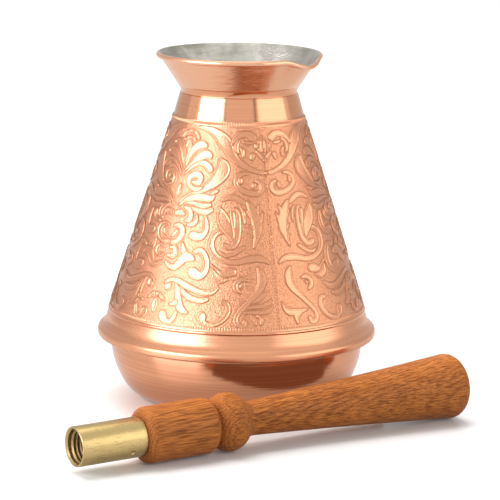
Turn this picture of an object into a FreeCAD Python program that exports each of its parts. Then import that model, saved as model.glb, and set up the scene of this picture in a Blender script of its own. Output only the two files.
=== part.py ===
import FreeCAD, Part
import math
import os
import Sketcher
from FreeCAD import Placement, Rotation, Vector

# Coffee pot of thin sheet with a handle that screws on. All sizes are in millimetres and degrees.
# The pot stands on z = 0 with its axis on Z; the handle lies on the same plane beside it.

SIZES = (
    ("sheet_thickness", 0.8, "sheet of bowl, cone and neck"),
    ("seam_gap", 0.05, "film between soldered or riveted faces"),
    ("bowl_radius", 40.7, "outside of the bowl at its top"),
    ("foot_inset", 13.7, "flat foot inside the bowl's side"),
    ("bowl_corner_radius", 11.5, "outside arc next to the foot"),
    ("bowl_depth", 19.0, "height at which the bowl's side stands upright"),
    ("flange_height", 21.05, "underside of the bowl's flange"),
    ("flange_width", 3.4, "bowl flange beyond the bowl's side"),
    ("hem_overlap", 2.2, "how far the hem is folded under the flange"),
    ("hem_edge_radius", 0.8, "lower rounding of the folded edge"),
    ("shoulder_radius", 1.6, "upper rounding of the folded edge"),
    ("shoulder_drop", 1.3, "height of the upper rounding"),
    ("shoulder_inset", 0.75, "width of the upper rounding"),
    ("cove_radius", 5.0, "hollow between cone and folded edge"),
    ("cone_overhang", 1.35, "cone's lower end outside the bowl's side"),
    ("cove_height", 4.75, "cone's lower end above the bowl's flange"),
    ("cone_top_radius", 20.8, "outside of the cone at its upper end"),
    ("cone_top_height", 92.0, "height of the cone's upper end"),
    ("border_width", 1.1, "border bead, measured along Z"),
    ("border_radius", 0.75, "rounding of the border beads"),
    ("low_border_rise", 1.7, "lower border bead above the cone's lower end"),
    ("lap_length", 4.5, "neck skirt inside the cone"),
    ("joggle_height", 2.0, "height over which the neck steps outward"),
    ("neck_length", 7.1, "waist above the cone"),
    ("waist_inset", 2.0, "waist inside the cone's upper end"),
    ("waist_turn", 1.9, "height over which the waist turns into the flare"),
    ("waist_spread", 0.5, "start of the flare outside the waist"),
    ("flare_rise", 9.7, "height of the flare up to the rim's centre"),
    ("flare_reach", 6.35, "rim's centre outside the start of the flare"),
    ("rim_bead_radius", 0.9, "half thickness of the hemmed rim"),
    ("spout_azimuth", -33.0, "direction of the pouring lip"),
    ("spout_half_angle", 24.0, "half width of the pouring lip"),
    ("spout_dip", 2.2, "how far the pouring lip dips"),
    ("spout_reach", 0.65, "how far the pouring lip reaches out"),
    ("stud_azimuth", 62.0, "direction of the handle's stud"),
    ("stud_drop", 10.0, "stud below the cone's upper end"),
    ("rivet_radius", 2.5, "rivet shank of the stud"),
    ("rivet_clearance", 0.1, "play of the rivet shank in its holes"),
    ("rivet_head_radius", 4.2, "riveted head inside"),
    ("rivet_head_height", 1.3, "riveted head inside"),
    ("saddle_radius", 7.0, "saddle washer outside"),
    ("saddle_thickness", 0.8, "saddle washer on its centre line"),
    ("inner_washer_radius", 5.5, "inner washer outside"),
    ("inner_washer_thickness", 1.7, "inner washer on its centre line"),
    ("collar_radius", 6.0, "stud collar, the same as the ferrule"),
    ("collar_thickness", 1.4, "stud collar"),
    ("thread_radius", 4.594, "pitch radius of the M10 x 1.25 thread"),
    ("thread_clearance", 0.05, "play between stud and ferrule thread"),
    ("thread_length", 9.5, "threaded length of the stud"),
    ("thread_chamfer", 0.7, "end chamfer of the stud"),
    ("ferrule_radius", 6.0, "outside of the ferrule"),
    ("ferrule_length", 21.5, "length of the ferrule"),
    ("ferrule_mouth_radius", 5.05, "countersunk mouth of the ferrule"),
    ("ferrule_edge", 0.25, "edge chamfer of the ferrule"),
    ("thread_depth", 13.2, "threaded depth of the ferrule"),
    ("tang_radius", 4.95, "grip tang inside the ferrule"),
    ("tang_clearance", 0.05, "play of the tang"),
    ("tang_end_gap", 0.6, "room in front of the tang"),
    ("barrel_radius", 8.45, "grip barrel next to the ferrule"),
    ("barrel_length", 23.75, "grip barrel"),
    ("barrel_front_round", 2.6, "barrel edge towards the ferrule"),
    ("barrel_back_round", 2.1, "barrel edge towards the bead"),
    ("groove_radius", 6.0, "groove between barrel and bead"),
    ("groove_width", 0.9, "floor of the groove"),
    ("bead_proud", 0.47, "grip bead beyond the barrel"),
    ("bead_half_width", 5.2, "half width of the bead at the groove's depth"),
    ("taper_start_radius", 5.3, "thin end of the grip"),
    ("taper_start", 60.5, "thin end from the ferrule's mouth"),
    ("taper_end_radius", 10.2, "thick end of the grip"),
    ("taper_end", 131.5, "thick end from the ferrule's mouth"),
    ("taper_hollow_radius", 2600.0, "slight hollow along the grip"),
    ("neck_cove_radius", 4.2, "hollow behind the bead"),
    ("butt_round_radius", 4.2, "rounding of the butt"),
    ("butt_flat_radius", 6.2, "end of the butt's rounding"),
    ("butt_dome_radius", 24.0, "slight dome of the butt's end"),
    ("grip_length", 136.2, "butt from the ferrule's mouth"),
    ("pin_radius", 0.75, "ferrule pin"),
    ("pin_length", 6.0, "ferrule pin"),
    ("pin_clearance", 0.03, "play of the pin in its hole"),
    ("pin_distance", 16.5, "pin from the ferrule's mouth"),
    ("pin_turn", 119.0, "pin direction round the ferrule"),
    ("handle_room", 14.03, "axis of the lying handle outside the folded edge"),
    ("handle_back", 89.97, "ferrule mouth behind the handle's point nearest to the pot"),
    ("handle_azimuth", 31.5, "direction of the lying handle"),
)

doc = FreeCAD.newDocument("CoffeePot")
sheet = doc.addObject("Spreadsheet::Sheet", "Sizes")


class Size:
    """A number that keeps the sheet expression it came from."""

    def __init__(self, value, text):
        self.value = value
        self.text = text

    def __add__(self, other):
        other = as_size(other)
        return Size(self.value + other.value, f"({self.text} + {other.text})")

    def __sub__(self, other):
        other = as_size(other)
        return Size(self.value - other.value, f"({self.text} - {other.text})")

    def __mul__(self, other):
        other = as_size(other)
        return Size(self.value * other.value, f"({self.text} * {other.text})")

    def __truediv__(self, other):
        other = as_size(other)
        return Size(self.value / other.value, f"({self.text} / {other.text})")

    def __neg__(self):
        return Size(-self.value, f"(0 - {self.text})")

    def __radd__(self, other):
        return as_size(other) + self

    def __rsub__(self, other):
        return as_size(other) - self

    def __rmul__(self, other):
        return as_size(other) * self


def as_size(number):
    if isinstance(number, Size):
        return number
    return Size(float(number), repr(float(number)))


def root(size):
    return Size(math.sqrt(size.value), f"sqrt({size.text})")


def cosine(angle):
    return Size(math.cos(math.radians(angle.value)), f"cos({angle.text})")


def sine(angle):
    return Size(math.sin(math.radians(angle.value)), f"sin({angle.text})")


def arctangent(ratio):
    return Size(math.degrees(math.atan(ratio.value)), f"(atan({ratio.text}) / 1 deg)")


class Sizes:
    """Every cell of the sheet by its alias."""


size = Sizes()
for row, (alias, number, meaning) in enumerate(SIZES, start=1):
    sheet.set(f"A{row}", meaning)
    sheet.set(f"B{row}", str(number))
    sheet.setAlias(f"B{row}", alias)
doc.recompute()
for alias, number, meaning in SIZES:
    setattr(size, alias, Size(float(sheet.get(alias)), f"Sizes.{alias}"))


def origin_plane(body, role):
    for feature in body.Origin.OriginFeatures:
        if feature.Role == role:
            return feature
    raise RuntimeError(f"{body.Label} has no {role}")


def arc_between(start, end, radius):
    """Arc from start to end; a positive radius turns left. Returns it and whether it is reversed."""
    chord = end - start
    left = Vector(-chord.y, chord.x, 0).normalize()
    rise = math.sqrt(radius * radius - chord.Length ** 2 / 4)
    centre = (start + end) * 0.5 + left * math.copysign(rise, radius)
    first, last = (start, end) if radius > 0 else (end, start)
    angles = [math.atan2(p.y - centre.y, p.x - centre.x) for p in (first, last)]
    circle = Part.Circle(centre, Vector(0, 0, 1), abs(radius))
    return Part.ArcOfCircle(circle, angles[0], angles[1]), radius < 0


def profile_sketch(body, name, corners):
    """Closed sketch on the XZ plane. A corner is (x, z) or (x, z, radius of the arc that leaves it)."""
    sketch = body.newObject("Sketcher::SketchObject", name)
    sketch.AttachmentSupport = [(origin_plane(body, "XZ_Plane"), "")]
    sketch.MapMode = "FlatFace"
    corners = [(as_size(c[0]), as_size(c[1]), c[2] if len(c) > 2 else None) for c in corners]
    points = [Vector(x.value, z.value, 0) for x, z, bend in corners]
    begins = []
    ends = []
    for index, (x, z, bend) in enumerate(corners):
        here = points[index]
        there = points[(index + 1) % len(points)]
        if bend is None:
            edge = sketch.addGeometry(Part.LineSegment(here, there), False)
            reverse = False
        else:
            arc, reverse = arc_between(here, there, bend.value)
            edge = sketch.addGeometry(arc, False)
        begins.append((edge, 2 if reverse else 1))
        ends.append((edge, 1 if reverse else 2))
    for index, (x, z, bend) in enumerate(corners):
        edge, point = begins[index]
        sketch.addConstraint(Sketcher.Constraint("Coincident", *ends[index - 1], edge, point))
        for kind, length, axis in (("DistanceX", x, -2), ("DistanceY", z, -1)):
            if length.text == "0.0":
                sketch.addConstraint(Sketcher.Constraint("PointOnObject", edge, point, axis))
                continue
            number = sketch.addConstraint(Sketcher.Constraint(kind, -1, 1, edge, point, length.value))
            sketch.setExpression(f"Constraints[{number}]", length.text)
        if bend is not None:
            number = sketch.addConstraint(Sketcher.Constraint("Radius", edge, abs(bend.value)))
            sketch.setExpression(f"Constraints[{number}]", bend.text if bend.value > 0 else (-bend).text)
    return sketch


def turned_body(label, corners, axis):
    """Body turned from a closed profile round the sketch's vertical or horizontal axis."""
    body = doc.addObject("PartDesign::Body", label)
    body.Label = label
    sketch = profile_sketch(body, label + "_profile", corners)
    turning = body.newObject("PartDesign::Revolution", label + "_turning")
    turning.Profile = sketch
    turning.ReferenceAxis = (sketch, [axis])
    turning.Angle = 360
    body.Tip = turning
    sketch.Visibility = False
    return body


def place(thing, base, yaw, pitch, roll=0):
    """Bind a placement: roll about X, turn the X axis up by pitch, turn by yaw about Z, move to base."""
    x, y, z = (as_size(part).text for part in base)
    vector = f"create(<<vector>>; {x}; {y}; {z})"
    turn = f"create(<<rotation>>; {as_size(yaw).text}; {(-as_size(pitch)).text}; {as_size(roll).text})"
    thing.setExpression("Placement", f"create(<<placement>>; {vector}; {turn})")


def along(base, direction, distance):
    """Point at a distance from base along a unit direction."""
    return tuple(start + part * distance for start, part in zip(base, direction))


def cylinder(name, radius, height, base, yaw, pitch, roll=0):
    """Cylinder primitive whose axis is the turned Z axis."""
    rod = doc.addObject("Part::Cylinder", name)
    rod.setExpression("Radius", radius.text)
    rod.setExpression("Height", height.text)
    place(rod, base, yaw, pitch, roll)
    return rod


def cone_form(name, low, high, offset):
    """Solid cone that follows the pot's cone at a radial offset between two heights."""
    form = doc.addObject("Part::Cone", name)
    form.setExpression("Radius1", (cone_radius(low) + offset).text)
    form.setExpression("Radius2", (cone_radius(high) + offset).text)
    form.setExpression("Height", (high - low).text)
    form.setExpression("Placement.Base.z", low.text)
    return form


def combine(kind, label, base, tool):
    """Boolean of two objects under a label of its own."""
    result = doc.addObject(kind, label)
    result.Label = label
    result.Base = base
    result.Tool = tool
    return result


sheet_t = size.sheet_thickness
gap = size.seam_gap

# Places that follow from the bowl upward.
base_radius = size.bowl_radius - size.foot_inset
flange_edge = size.bowl_radius + size.flange_width
flange_top = size.flange_height + sheet_t
cone_low_radius = size.bowl_radius + size.cone_overhang
cone_low_height = flange_top + size.cove_height
low_border_height = cone_low_height + size.low_border_rise
stud_height = size.cone_top_height - size.stud_drop
waist_radius = size.cone_top_radius - size.waist_inset
waist_height = size.cone_top_height + size.neck_length
flare_radius = waist_radius + size.waist_spread
flare_height = waist_height + size.waist_turn
rim_radius = flare_radius + size.flare_reach
rim_height = flare_height + size.flare_rise

# The cone's slope, and the distance through its sheet along the radius.
cone_slope = (cone_low_radius - size.cone_top_radius) / (size.cone_top_height - cone_low_height)
cone_angle = arctangent(cone_slope)
cone_sheet = sheet_t / cosine(cone_angle)
cone_gap = gap / cosine(cone_angle)


def cone_radius(height):
    """Outside radius of the cone at a height."""
    return size.cone_top_radius + (size.cone_top_height - height) * cone_slope


# Bowl: foot, corner arc, side arc that ends upright, then the flange turned outward.
side_rise = size.bowl_depth - size.bowl_corner_radius
side_span = size.bowl_radius - base_radius
side_radius = (side_span * side_span + size.bowl_depth * size.bowl_depth
               - 2 * size.bowl_depth * size.bowl_corner_radius) / (2 * (side_span - size.bowl_corner_radius))
side_centre = size.bowl_radius - side_radius
lean_x = (base_radius - side_centre) / (side_radius - size.bowl_corner_radius)
lean_z = side_rise / (side_radius - size.bowl_corner_radius)
corner_inner = size.bowl_corner_radius - sheet_t
bowl_inner = size.bowl_radius - sheet_t

bowl = turned_body("bowl", [
    (0, 0),
    (base_radius, 0, size.bowl_corner_radius),
    (base_radius + size.bowl_corner_radius * lean_x,
     size.bowl_corner_radius - size.bowl_corner_radius * lean_z, side_radius),
    (size.bowl_radius, size.bowl_depth),
    (size.bowl_radius, size.flange_height),
    (flange_edge, size.flange_height),
    (flange_edge, flange_top),
    (bowl_inner, flange_top),
    (bowl_inner, size.bowl_depth, -(side_radius - sheet_t)),
    (base_radius + corner_inner * lean_x,
     size.bowl_corner_radius - corner_inner * lean_z, -corner_inner),
    (base_radius, sheet_t),
    (0, sheet_t),
], "V_Axis")

# Cone: border bead, straight wall, second bead, cove, then the edge folded under the bowl's flange.
hem_inner = flange_edge + gap
hem_outer = hem_inner + sheet_t
hem_top = size.flange_height - gap
hem_low = hem_top - sheet_t
hem_end = flange_edge - size.hem_overlap
shoulder_top = flange_top + gap + size.shoulder_drop
shoulder_edge = hem_outer - size.shoulder_inset
low_bead_top = low_border_height + size.border_width
top_bead_low = size.cone_top_height - size.border_width

cone_blank = turned_body("cone_blank", [
    (size.cone_top_radius - cone_sheet, size.cone_top_height),
    (cone_low_radius - cone_sheet, cone_low_height),
    (shoulder_edge - sheet_t, shoulder_top - size.hem_edge_radius),
    (hem_inner, flange_top + gap),
    (hem_inner, hem_top),
    (hem_end, hem_top),
    (hem_end, hem_low),
    (hem_outer - size.hem_edge_radius, hem_low, size.hem_edge_radius),
    (hem_outer, hem_low + size.hem_edge_radius),
    (hem_outer, flange_top + gap, size.shoulder_radius),
    (shoulder_edge, shoulder_top, -size.cove_radius),
    (cone_low_radius, cone_low_height),
    (cone_radius(low_border_height), low_border_height, size.border_radius),
    (cone_radius(low_bead_top), low_bead_top),
    (cone_radius(top_bead_low), top_bead_low, size.border_radius),
    (size.cone_top_radius, size.cone_top_height),
], "V_Axis")

# Tin fillet between the bowl's flange and the inside of the cone.
solder_low = flange_top + gap
solder_edge = shoulder_edge - sheet_t - cone_gap
base_seam_solder = turned_body("base_seam_solder", [
    (bowl_inner, solder_low),
    (solder_edge, solder_low),
    (solder_edge, shoulder_top - size.hem_edge_radius),
    (cone_low_radius - cone_sheet - cone_gap, cone_low_height),
], "V_Axis")

# Mouth and neck. The skirt laps inside the cone, the neck steps out flush with the cone's face,
# and the flare ends in a hemmed rim. Each level is (radius, height, share of the pouring lip).
neck_low = size.cone_top_height + gap
skirt_low = size.cone_top_height - size.lap_length
skirt_face = -(cone_sheet + cone_gap)
skirt_inner = skirt_face - cone_sheet
flare_length = root(size.flare_reach * size.flare_reach + size.flare_rise * size.flare_rise)
inward_r = -size.flare_rise / flare_length * sheet_t
inward_z = size.flare_reach / flare_length * sheet_t
bead_touch = root(size.rim_bead_radius * size.rim_bead_radius - sheet_t * sheet_t)
bead_end_r = inward_r + size.flare_reach / flare_length * bead_touch
bead_end_z = inward_z + size.flare_rise / flare_length * bead_touch
bead_first = math.atan2(-size.flare_rise.value, -size.flare_reach.value)
bead_last = math.atan2(bead_end_z.value, bead_end_r.value)
BEAD_LEVELS = 7
LEVEL_POINTS = 72
neck_slope = (size.cone_top_radius - waist_radius) / (waist_height - neck_low)
waist_arc = size.waist_turn / 2
neck_end = waist_height - waist_arc
joggle_top = neck_low + size.joggle_height


def neck_radius(height):
    """Outside radius of the straight neck at a height."""
    return size.cone_top_radius - (height - neck_low) * neck_slope


def level(radius, height, share=0.0):
    return as_size(radius).value, as_size(height).value, share


def bead_level(step):
    """One level round the hemmed rim, from the flare's outside over the top to its inside."""
    angle = bead_first + (bead_last - bead_first) * step / (BEAD_LEVELS - 1)
    radius = rim_radius.value + size.rim_bead_radius.value * math.cos(angle)
    height = rim_height.value + size.rim_bead_radius.value * math.sin(angle)
    return radius, height, 1.0


waist_out = [
    level(neck_radius(neck_end), neck_end),
    level(waist_radius, waist_height),
    level(waist_radius + waist_arc * 0.1, waist_height + waist_arc),
    level(flare_radius, flare_height),
]
waist_in = [
    level(flare_radius + inward_r, flare_height + inward_z),
    level(waist_radius - sheet_t + waist_arc * 0.1, waist_height + waist_arc),
    level(waist_radius - sheet_t, waist_height),
    level(neck_radius(neck_end) - sheet_t, neck_end),
]
rim_levels = [bead_level(step) for step in range(BEAD_LEVELS)]
skirt_out_low = level(cone_radius(skirt_low) + skirt_face, skirt_low)
skirt_out_top = level(cone_radius(neck_low) + skirt_face, neck_low)
neck_out_low = level(size.cone_top_radius, neck_low)
neck_in_low = level(neck_radius(joggle_top) - cone_sheet, joggle_top)
skirt_in_top = level(cone_radius(neck_low) + skirt_inner, neck_low)
skirt_in_low = level(cone_radius(skirt_low) + skirt_inner, skirt_low)
STRETCHES = (
    [skirt_in_low, skirt_out_low],
    [skirt_out_low, skirt_out_top],
    [skirt_out_top, neck_out_low],
    [neck_out_low, waist_out[0]],
    waist_out,
    [waist_out[-1], rim_levels[0]],
    rim_levels,
    [rim_levels[-1], waist_in[0]],
    waist_in,
    [waist_in[-1], neck_in_low],
    [neck_in_low, skirt_in_top],
    [skirt_in_top, skirt_in_low],
)


def level_wire(radius, height, share):
    """Closed curve round the pot's axis, pulled down and out towards the pouring lip."""
    points = []
    for step in range(LEVEL_POINTS):
        turn = 360.0 * step / LEVEL_POINTS
        aside = min(1.0, abs(turn - 180.0 * round(turn / 180.0)) / size.spout_half_angle.value)
        if turn > 90.0 and turn < 270.0:
            aside = 1.0
        pull = share * (1.0 - aside * aside) ** 2
        reach = radius + pull * size.spout_reach.value
        angle = math.radians(turn + size.spout_azimuth.value)
        low = height - pull * size.spout_dip.value
        points.append(Vector(reach * math.cos(angle), reach * math.sin(angle), low))
    curve = Part.BSplineCurve()
    curve.interpolate(Points=points, PeriodicFlag=True)
    return Part.Wire([curve.toShape()])


faces = []
for stretch in STRETCHES:
    wires = [level_wire(*one) for one in stretch]
    if len(wires) == 2:
        faces.append(Part.makeRuledSurface(wires[0].Edges[0], wires[1].Edges[0]))
    else:
        faces.extend(Part.makeLoft(wires, False, False).Faces)
mouth_shell = Part.makeShell(faces)
mouth_shell.sewShape()
mouth_neck = doc.addObject("Part::Feature", "mouth_neck")
mouth_neck.Label = "mouth_neck"
mouth_neck.Shape = Part.makeSolid(mouth_shell)
mouth_neck.Placement = Placement()

# Stud, riveted through the cone square to its face, with a saddle outside and a washer inside.
stud_radius = cone_radius(stud_height)
stud_foot = (stud_radius * cosine(size.stud_azimuth), stud_radius * sine(size.stud_azimuth), stud_height)
stud_way = (cosine(cone_angle) * cosine(size.stud_azimuth),
            cosine(cone_angle) * sine(size.stud_azimuth),
            sine(cone_angle))
upright = cone_angle - 90
rivet_hole_radius = size.rivet_radius + size.rivet_clearance
washer_in = -(sheet_t + gap + size.inner_washer_thickness)
head_face = washer_in - gap
collar_face = size.saddle_thickness + gap + gap
thread_start = collar_face + size.collar_thickness
thread_end = thread_start + size.thread_length
stud_thread_radius = size.thread_radius - size.thread_clearance
head_dome = (size.rivet_head_radius * size.rivet_head_radius
             + size.rivet_head_height * size.rivet_head_height) / (2 * size.rivet_head_height)

handle_stud = turned_body("handle_stud", [
    (head_face - size.rivet_head_height, 0, -head_dome),
    (head_face, size.rivet_head_radius),
    (head_face, size.rivet_radius),
    (collar_face, size.rivet_radius),
    (collar_face, size.collar_radius),
    (thread_start, size.collar_radius),
    (thread_start, stud_thread_radius),
    (thread_end - size.thread_chamfer, stud_thread_radius),
    (thread_end, stud_thread_radius - size.thread_chamfer),
    (thread_end, 0),
], "H_Axis")
place(handle_stud, stud_foot, size.stud_azimuth, cone_angle)

drill_base = along(stud_foot, stud_way, -size.saddle_radius)
rivet_drill = cylinder("rivet_drill", rivet_hole_radius, size.saddle_radius * 2, drill_base,
                       size.stud_azimuth, upright)
cone_wall = combine("Part::Cut", "cone_wall", cone_blank, rivet_drill)

form_low = stud_height - size.saddle_radius * 2
form_high = stud_height + size.saddle_radius
saddle_disc = cylinder("saddle_disc", size.saddle_radius, size.saddle_radius + size.saddle_thickness + gap,
                       drill_base, size.stud_azimuth, upright)
saddle_form = cone_form("saddle_form", form_low, form_high, cone_gap)
saddle_blank = combine("Part::Cut", "saddle_blank", saddle_disc, saddle_form)
saddle_drill = cylinder("saddle_drill", rivet_hole_radius, size.saddle_radius * 2, drill_base,
                        size.stud_azimuth, upright)
saddle_washer = combine("Part::Cut", "saddle_washer", saddle_blank, saddle_drill)

washer_disc = cylinder("washer_disc", size.inner_washer_radius, -washer_in,
                       along(stud_foot, stud_way, washer_in), size.stud_azimuth, upright)
washer_form = cone_form("washer_form", form_low, form_high, -(cone_sheet + cone_gap))
washer_blank = combine("Part::Common", "washer_blank", washer_disc, washer_form)
washer_drill = cylinder("washer_drill", rivet_hole_radius, size.saddle_radius * 2, drill_base,
                        size.stud_azimuth, upright)
inner_washer = combine("Part::Cut", "inner_washer", washer_blank, washer_drill)

# Handle, turned round its own X axis from the ferrule's mouth; it rests on its bead and its butt.
barrel_end = size.ferrule_length + size.barrel_length
bead_start = barrel_end + size.groove_width
bead_middle = bead_start + size.bead_half_width
bead_end = bead_middle + size.bead_half_width
bead_radius = size.barrel_radius + size.bead_proud
bead_rise = bead_radius - size.groove_radius
bead_arc = (size.bead_half_width * size.bead_half_width + bead_rise * bead_rise) / (2 * bead_rise)
dome_rise = size.butt_dome_radius - root(
    size.butt_dome_radius * size.butt_dome_radius - size.butt_flat_radius * size.butt_flat_radius)
tang_start = size.thread_depth + size.tang_end_gap
socket_radius = size.tang_radius + size.tang_clearance
mouth_depth = size.ferrule_mouth_radius - size.thread_radius

handle_pitch = arctangent((size.taper_end_radius - bead_radius) / (size.taper_end - bead_middle))
handle_z = bead_radius * cosine(handle_pitch) - bead_middle * sine(handle_pitch)
handle_aside = hem_outer + size.handle_room
handle_base = (handle_aside * sine(size.handle_azimuth) - size.handle_back * cosine(size.handle_azimuth),
               -(handle_aside * cosine(size.handle_azimuth) + size.handle_back * sine(size.handle_azimuth)),
               handle_z)
handle_way = (cosine(size.handle_azimuth) * cosine(handle_pitch),
              sine(size.handle_azimuth) * cosine(handle_pitch),
              sine(handle_pitch))
pin_way = (sine(size.pin_turn) * sine(size.handle_azimuth)
           - cosine(size.pin_turn) * cosine(size.handle_azimuth) * sine(handle_pitch),
           -(sine(size.pin_turn) * cosine(size.handle_azimuth)
             + cosine(size.pin_turn) * sine(size.handle_azimuth) * sine(handle_pitch)),
           cosine(size.pin_turn) * cosine(handle_pitch))

grip_blank = turned_body("grip_blank", [
    (tang_start, 0),
    (tang_start, size.tang_radius),
    (size.ferrule_length + gap, size.tang_radius),
    (size.ferrule_length + gap, size.barrel_radius - size.barrel_front_round, -size.barrel_front_round),
    (size.ferrule_length + gap + size.barrel_front_round, size.barrel_radius),
    (barrel_end - size.barrel_back_round, size.barrel_radius, -size.barrel_back_round),
    (barrel_end, size.barrel_radius - size.barrel_back_round),
    (barrel_end, size.groove_radius),
    (bead_start, size.groove_radius, -bead_arc),
    (bead_end, size.groove_radius, size.neck_cove_radius),
    (size.taper_start, size.taper_start_radius, size.taper_hollow_radius),
    (size.taper_end, size.taper_end_radius, -size.butt_round_radius),
    (size.grip_length - dome_rise, size.butt_flat_radius, -size.butt_dome_radius),
    (size.grip_length, 0),
], "H_Axis")
ferrule_blank = turned_body("ferrule_blank", [
    (0, size.ferrule_mouth_radius),
    (0, size.ferrule_radius - size.ferrule_edge),
    (size.ferrule_edge, size.ferrule_radius),
    (size.ferrule_length - size.ferrule_edge, size.ferrule_radius),
    (size.ferrule_length, size.ferrule_radius - size.ferrule_edge),
    (size.ferrule_length, socket_radius),
    (size.thread_depth, socket_radius),
    (size.thread_depth, size.thread_radius),
    (mouth_depth, size.thread_radius),
], "H_Axis")
for body in (grip_blank, ferrule_blank):
    place(body, handle_base, size.handle_azimuth, handle_pitch)

pin_base = along(along(handle_base, handle_way, size.pin_distance), pin_way,
                 size.ferrule_radius - size.pin_length)
pin_hole_base = along(pin_base, pin_way, -size.pin_clearance)
ferrule_pin = cylinder("ferrule_pin", size.pin_radius, size.pin_length, pin_base,
                       size.handle_azimuth, handle_pitch, size.pin_turn)
ferrule_pin.Label = "ferrule_pin"
pin_hole_radius = size.pin_radius + size.pin_clearance
pin_hole_length = size.pin_length + size.ferrule_radius
grip_drill = cylinder("grip_drill", pin_hole_radius, pin_hole_length, pin_hole_base,
                      size.handle_azimuth, handle_pitch, size.pin_turn)
ferrule_drill = cylinder("ferrule_drill", pin_hole_radius, pin_hole_length, pin_hole_base,
                         size.handle_azimuth, handle_pitch, size.pin_turn)
grip = combine("Part::Cut", "grip", grip_blank, grip_drill)
ferrule = combine("Part::Cut", "ferrule", ferrule_blank, ferrule_drill)

doc.recompute()

NODES = (bowl, cone_wall, mouth_neck, base_seam_solder, handle_stud, saddle_washer, inner_washer,
         grip, ferrule, ferrule_pin)
for thing in doc.Objects:
    if "Invalid" in thing.State or "Error" in thing.State:
        raise RuntimeError(f"{thing.Label} did not build: {thing.State}")
for drilled, blank in ((cone_wall, cone_blank), (grip, grip_blank), (ferrule, ferrule_blank)):
    if drilled.Shape.Volume >= blank.Shape.Volume:
        raise RuntimeError(f"{drilled.Label} has lost its hole")
os.makedirs("parts", exist_ok=True)
for node in NODES:
    shape = node.Shape
    if shape.isNull() or not shape.isValid() or len(shape.Solids) != 1:
        raise RuntimeError(f"{node.Label} is not one valid solid")
    shape.exportStep(f"parts/{node.Label}.step")
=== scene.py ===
import math

import bpy
import numpy as np
from mathutils import Matrix, Vector


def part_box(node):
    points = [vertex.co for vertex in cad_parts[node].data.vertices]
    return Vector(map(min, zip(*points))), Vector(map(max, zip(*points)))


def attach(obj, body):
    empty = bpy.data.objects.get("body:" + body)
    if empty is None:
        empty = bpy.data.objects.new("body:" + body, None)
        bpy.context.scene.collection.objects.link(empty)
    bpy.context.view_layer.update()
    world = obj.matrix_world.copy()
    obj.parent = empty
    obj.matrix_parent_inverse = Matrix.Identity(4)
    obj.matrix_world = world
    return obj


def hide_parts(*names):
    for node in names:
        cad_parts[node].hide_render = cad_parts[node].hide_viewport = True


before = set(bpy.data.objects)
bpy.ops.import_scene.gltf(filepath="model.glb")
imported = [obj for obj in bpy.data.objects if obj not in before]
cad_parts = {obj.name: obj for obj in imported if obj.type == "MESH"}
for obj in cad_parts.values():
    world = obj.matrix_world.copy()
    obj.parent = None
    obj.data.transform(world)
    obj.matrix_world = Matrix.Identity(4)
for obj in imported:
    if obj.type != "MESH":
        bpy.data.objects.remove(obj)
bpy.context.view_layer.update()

bl_info = {
    "name": "Coffee pot with screw-on handle",
    "version": (1, 0, 0),
    "blender": (4, 5, 0),
    "location": "3D View > Sidebar > Coffee pot",
    "description": "Dresses a copper coffee pot, its turned handle and the table they stand on",
    "category": "Mesh",
}

MM = 0.001
BOWL_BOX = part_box("bowl")
CONE_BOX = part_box("cone_wall")
MOUTH_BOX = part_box("mouth_neck")
FULL_TURN = 2 * math.pi
UPRIGHT = (0, 0, 1)
ALONG = (1, 0, 0)
MERGE = 0.002 * MM


# Sizes and colours

def length(name, millimetres, description):
    return bpy.props.FloatProperty(name=name, description=description, default=millimetres * MM,
                                   unit="LENGTH", precision=5)


def angle(name, degrees, description):
    return bpy.props.FloatProperty(name=name, description=description,
                                   default=math.radians(degrees), unit="ROTATION")


def colour(name, rgb, description):
    return bpy.props.FloatVectorProperty(name=name, description=description, default=rgb, size=3,
                                         subtype="COLOR", min=0.0, max=1.0)


def grey(name, level, description):
    return colour(name, (level, level, level), description)


class PotSizes(bpy.types.PropertyGroup):
    sheet: length("Sheet", 0.8, "Thickness of the copper sheet")
    gap: length("Gap", 0.05, "Film between soldered sheets")
    bowl_radius: length("Bowl", 40.7, "Outside radius of the bowl's side")
    foot_radius: length("Foot", 27.0, "Radius of the flat foot")
    corner_radius: length("Corner", 11.5, "Arc next to the foot")
    bowl_depth: length("Bowl depth", 19.0, "Height at which the bowl's side stands upright")
    cone_low_radius: length("Cone, low", 42.05, "Outside radius at the cone's lower end")
    cone_low: length("Cone low height", 26.6, "Height of the cone's lower end")
    cone_top_radius: length("Cone, top", 20.8, "Outside radius at the cone's upper end")
    border: length("Border", 1.1, "Height of the plain borders")
    low_border: length("Lower border", 28.3, "Height of the lower border's lower edge")
    flare_radius: length("Flare", 19.3, "Outside radius where the flare turns straight")
    flare_height: length("Flare height", 101.0, "Height where the flare turns straight")
    rim_radius: length("Rim", 25.65, "Radius to the middle of the hemmed rim")
    rim_height: length("Rim height", 110.7, "Height of the hemmed rim's middle")
    rim_bead: length("Rim bead", 0.9, "Half thickness of the hemmed rim")
    spout_turn: angle("Lip direction", -33.0, "Direction of the pouring lip")
    spout_half: angle("Lip half width", 24.0, "Half width of the pouring lip")
    spout_dip: length("Lip dip", 2.2, "How far the pouring lip dips")
    spout_reach: length("Lip reach", 0.65, "How far the pouring lip reaches out")
    seam_turn: angle("Seam direction", -70.5, "Direction of the cone's side seam")
    relief: length("Relief", 0.42, "Height of the embossed ornament")


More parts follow.
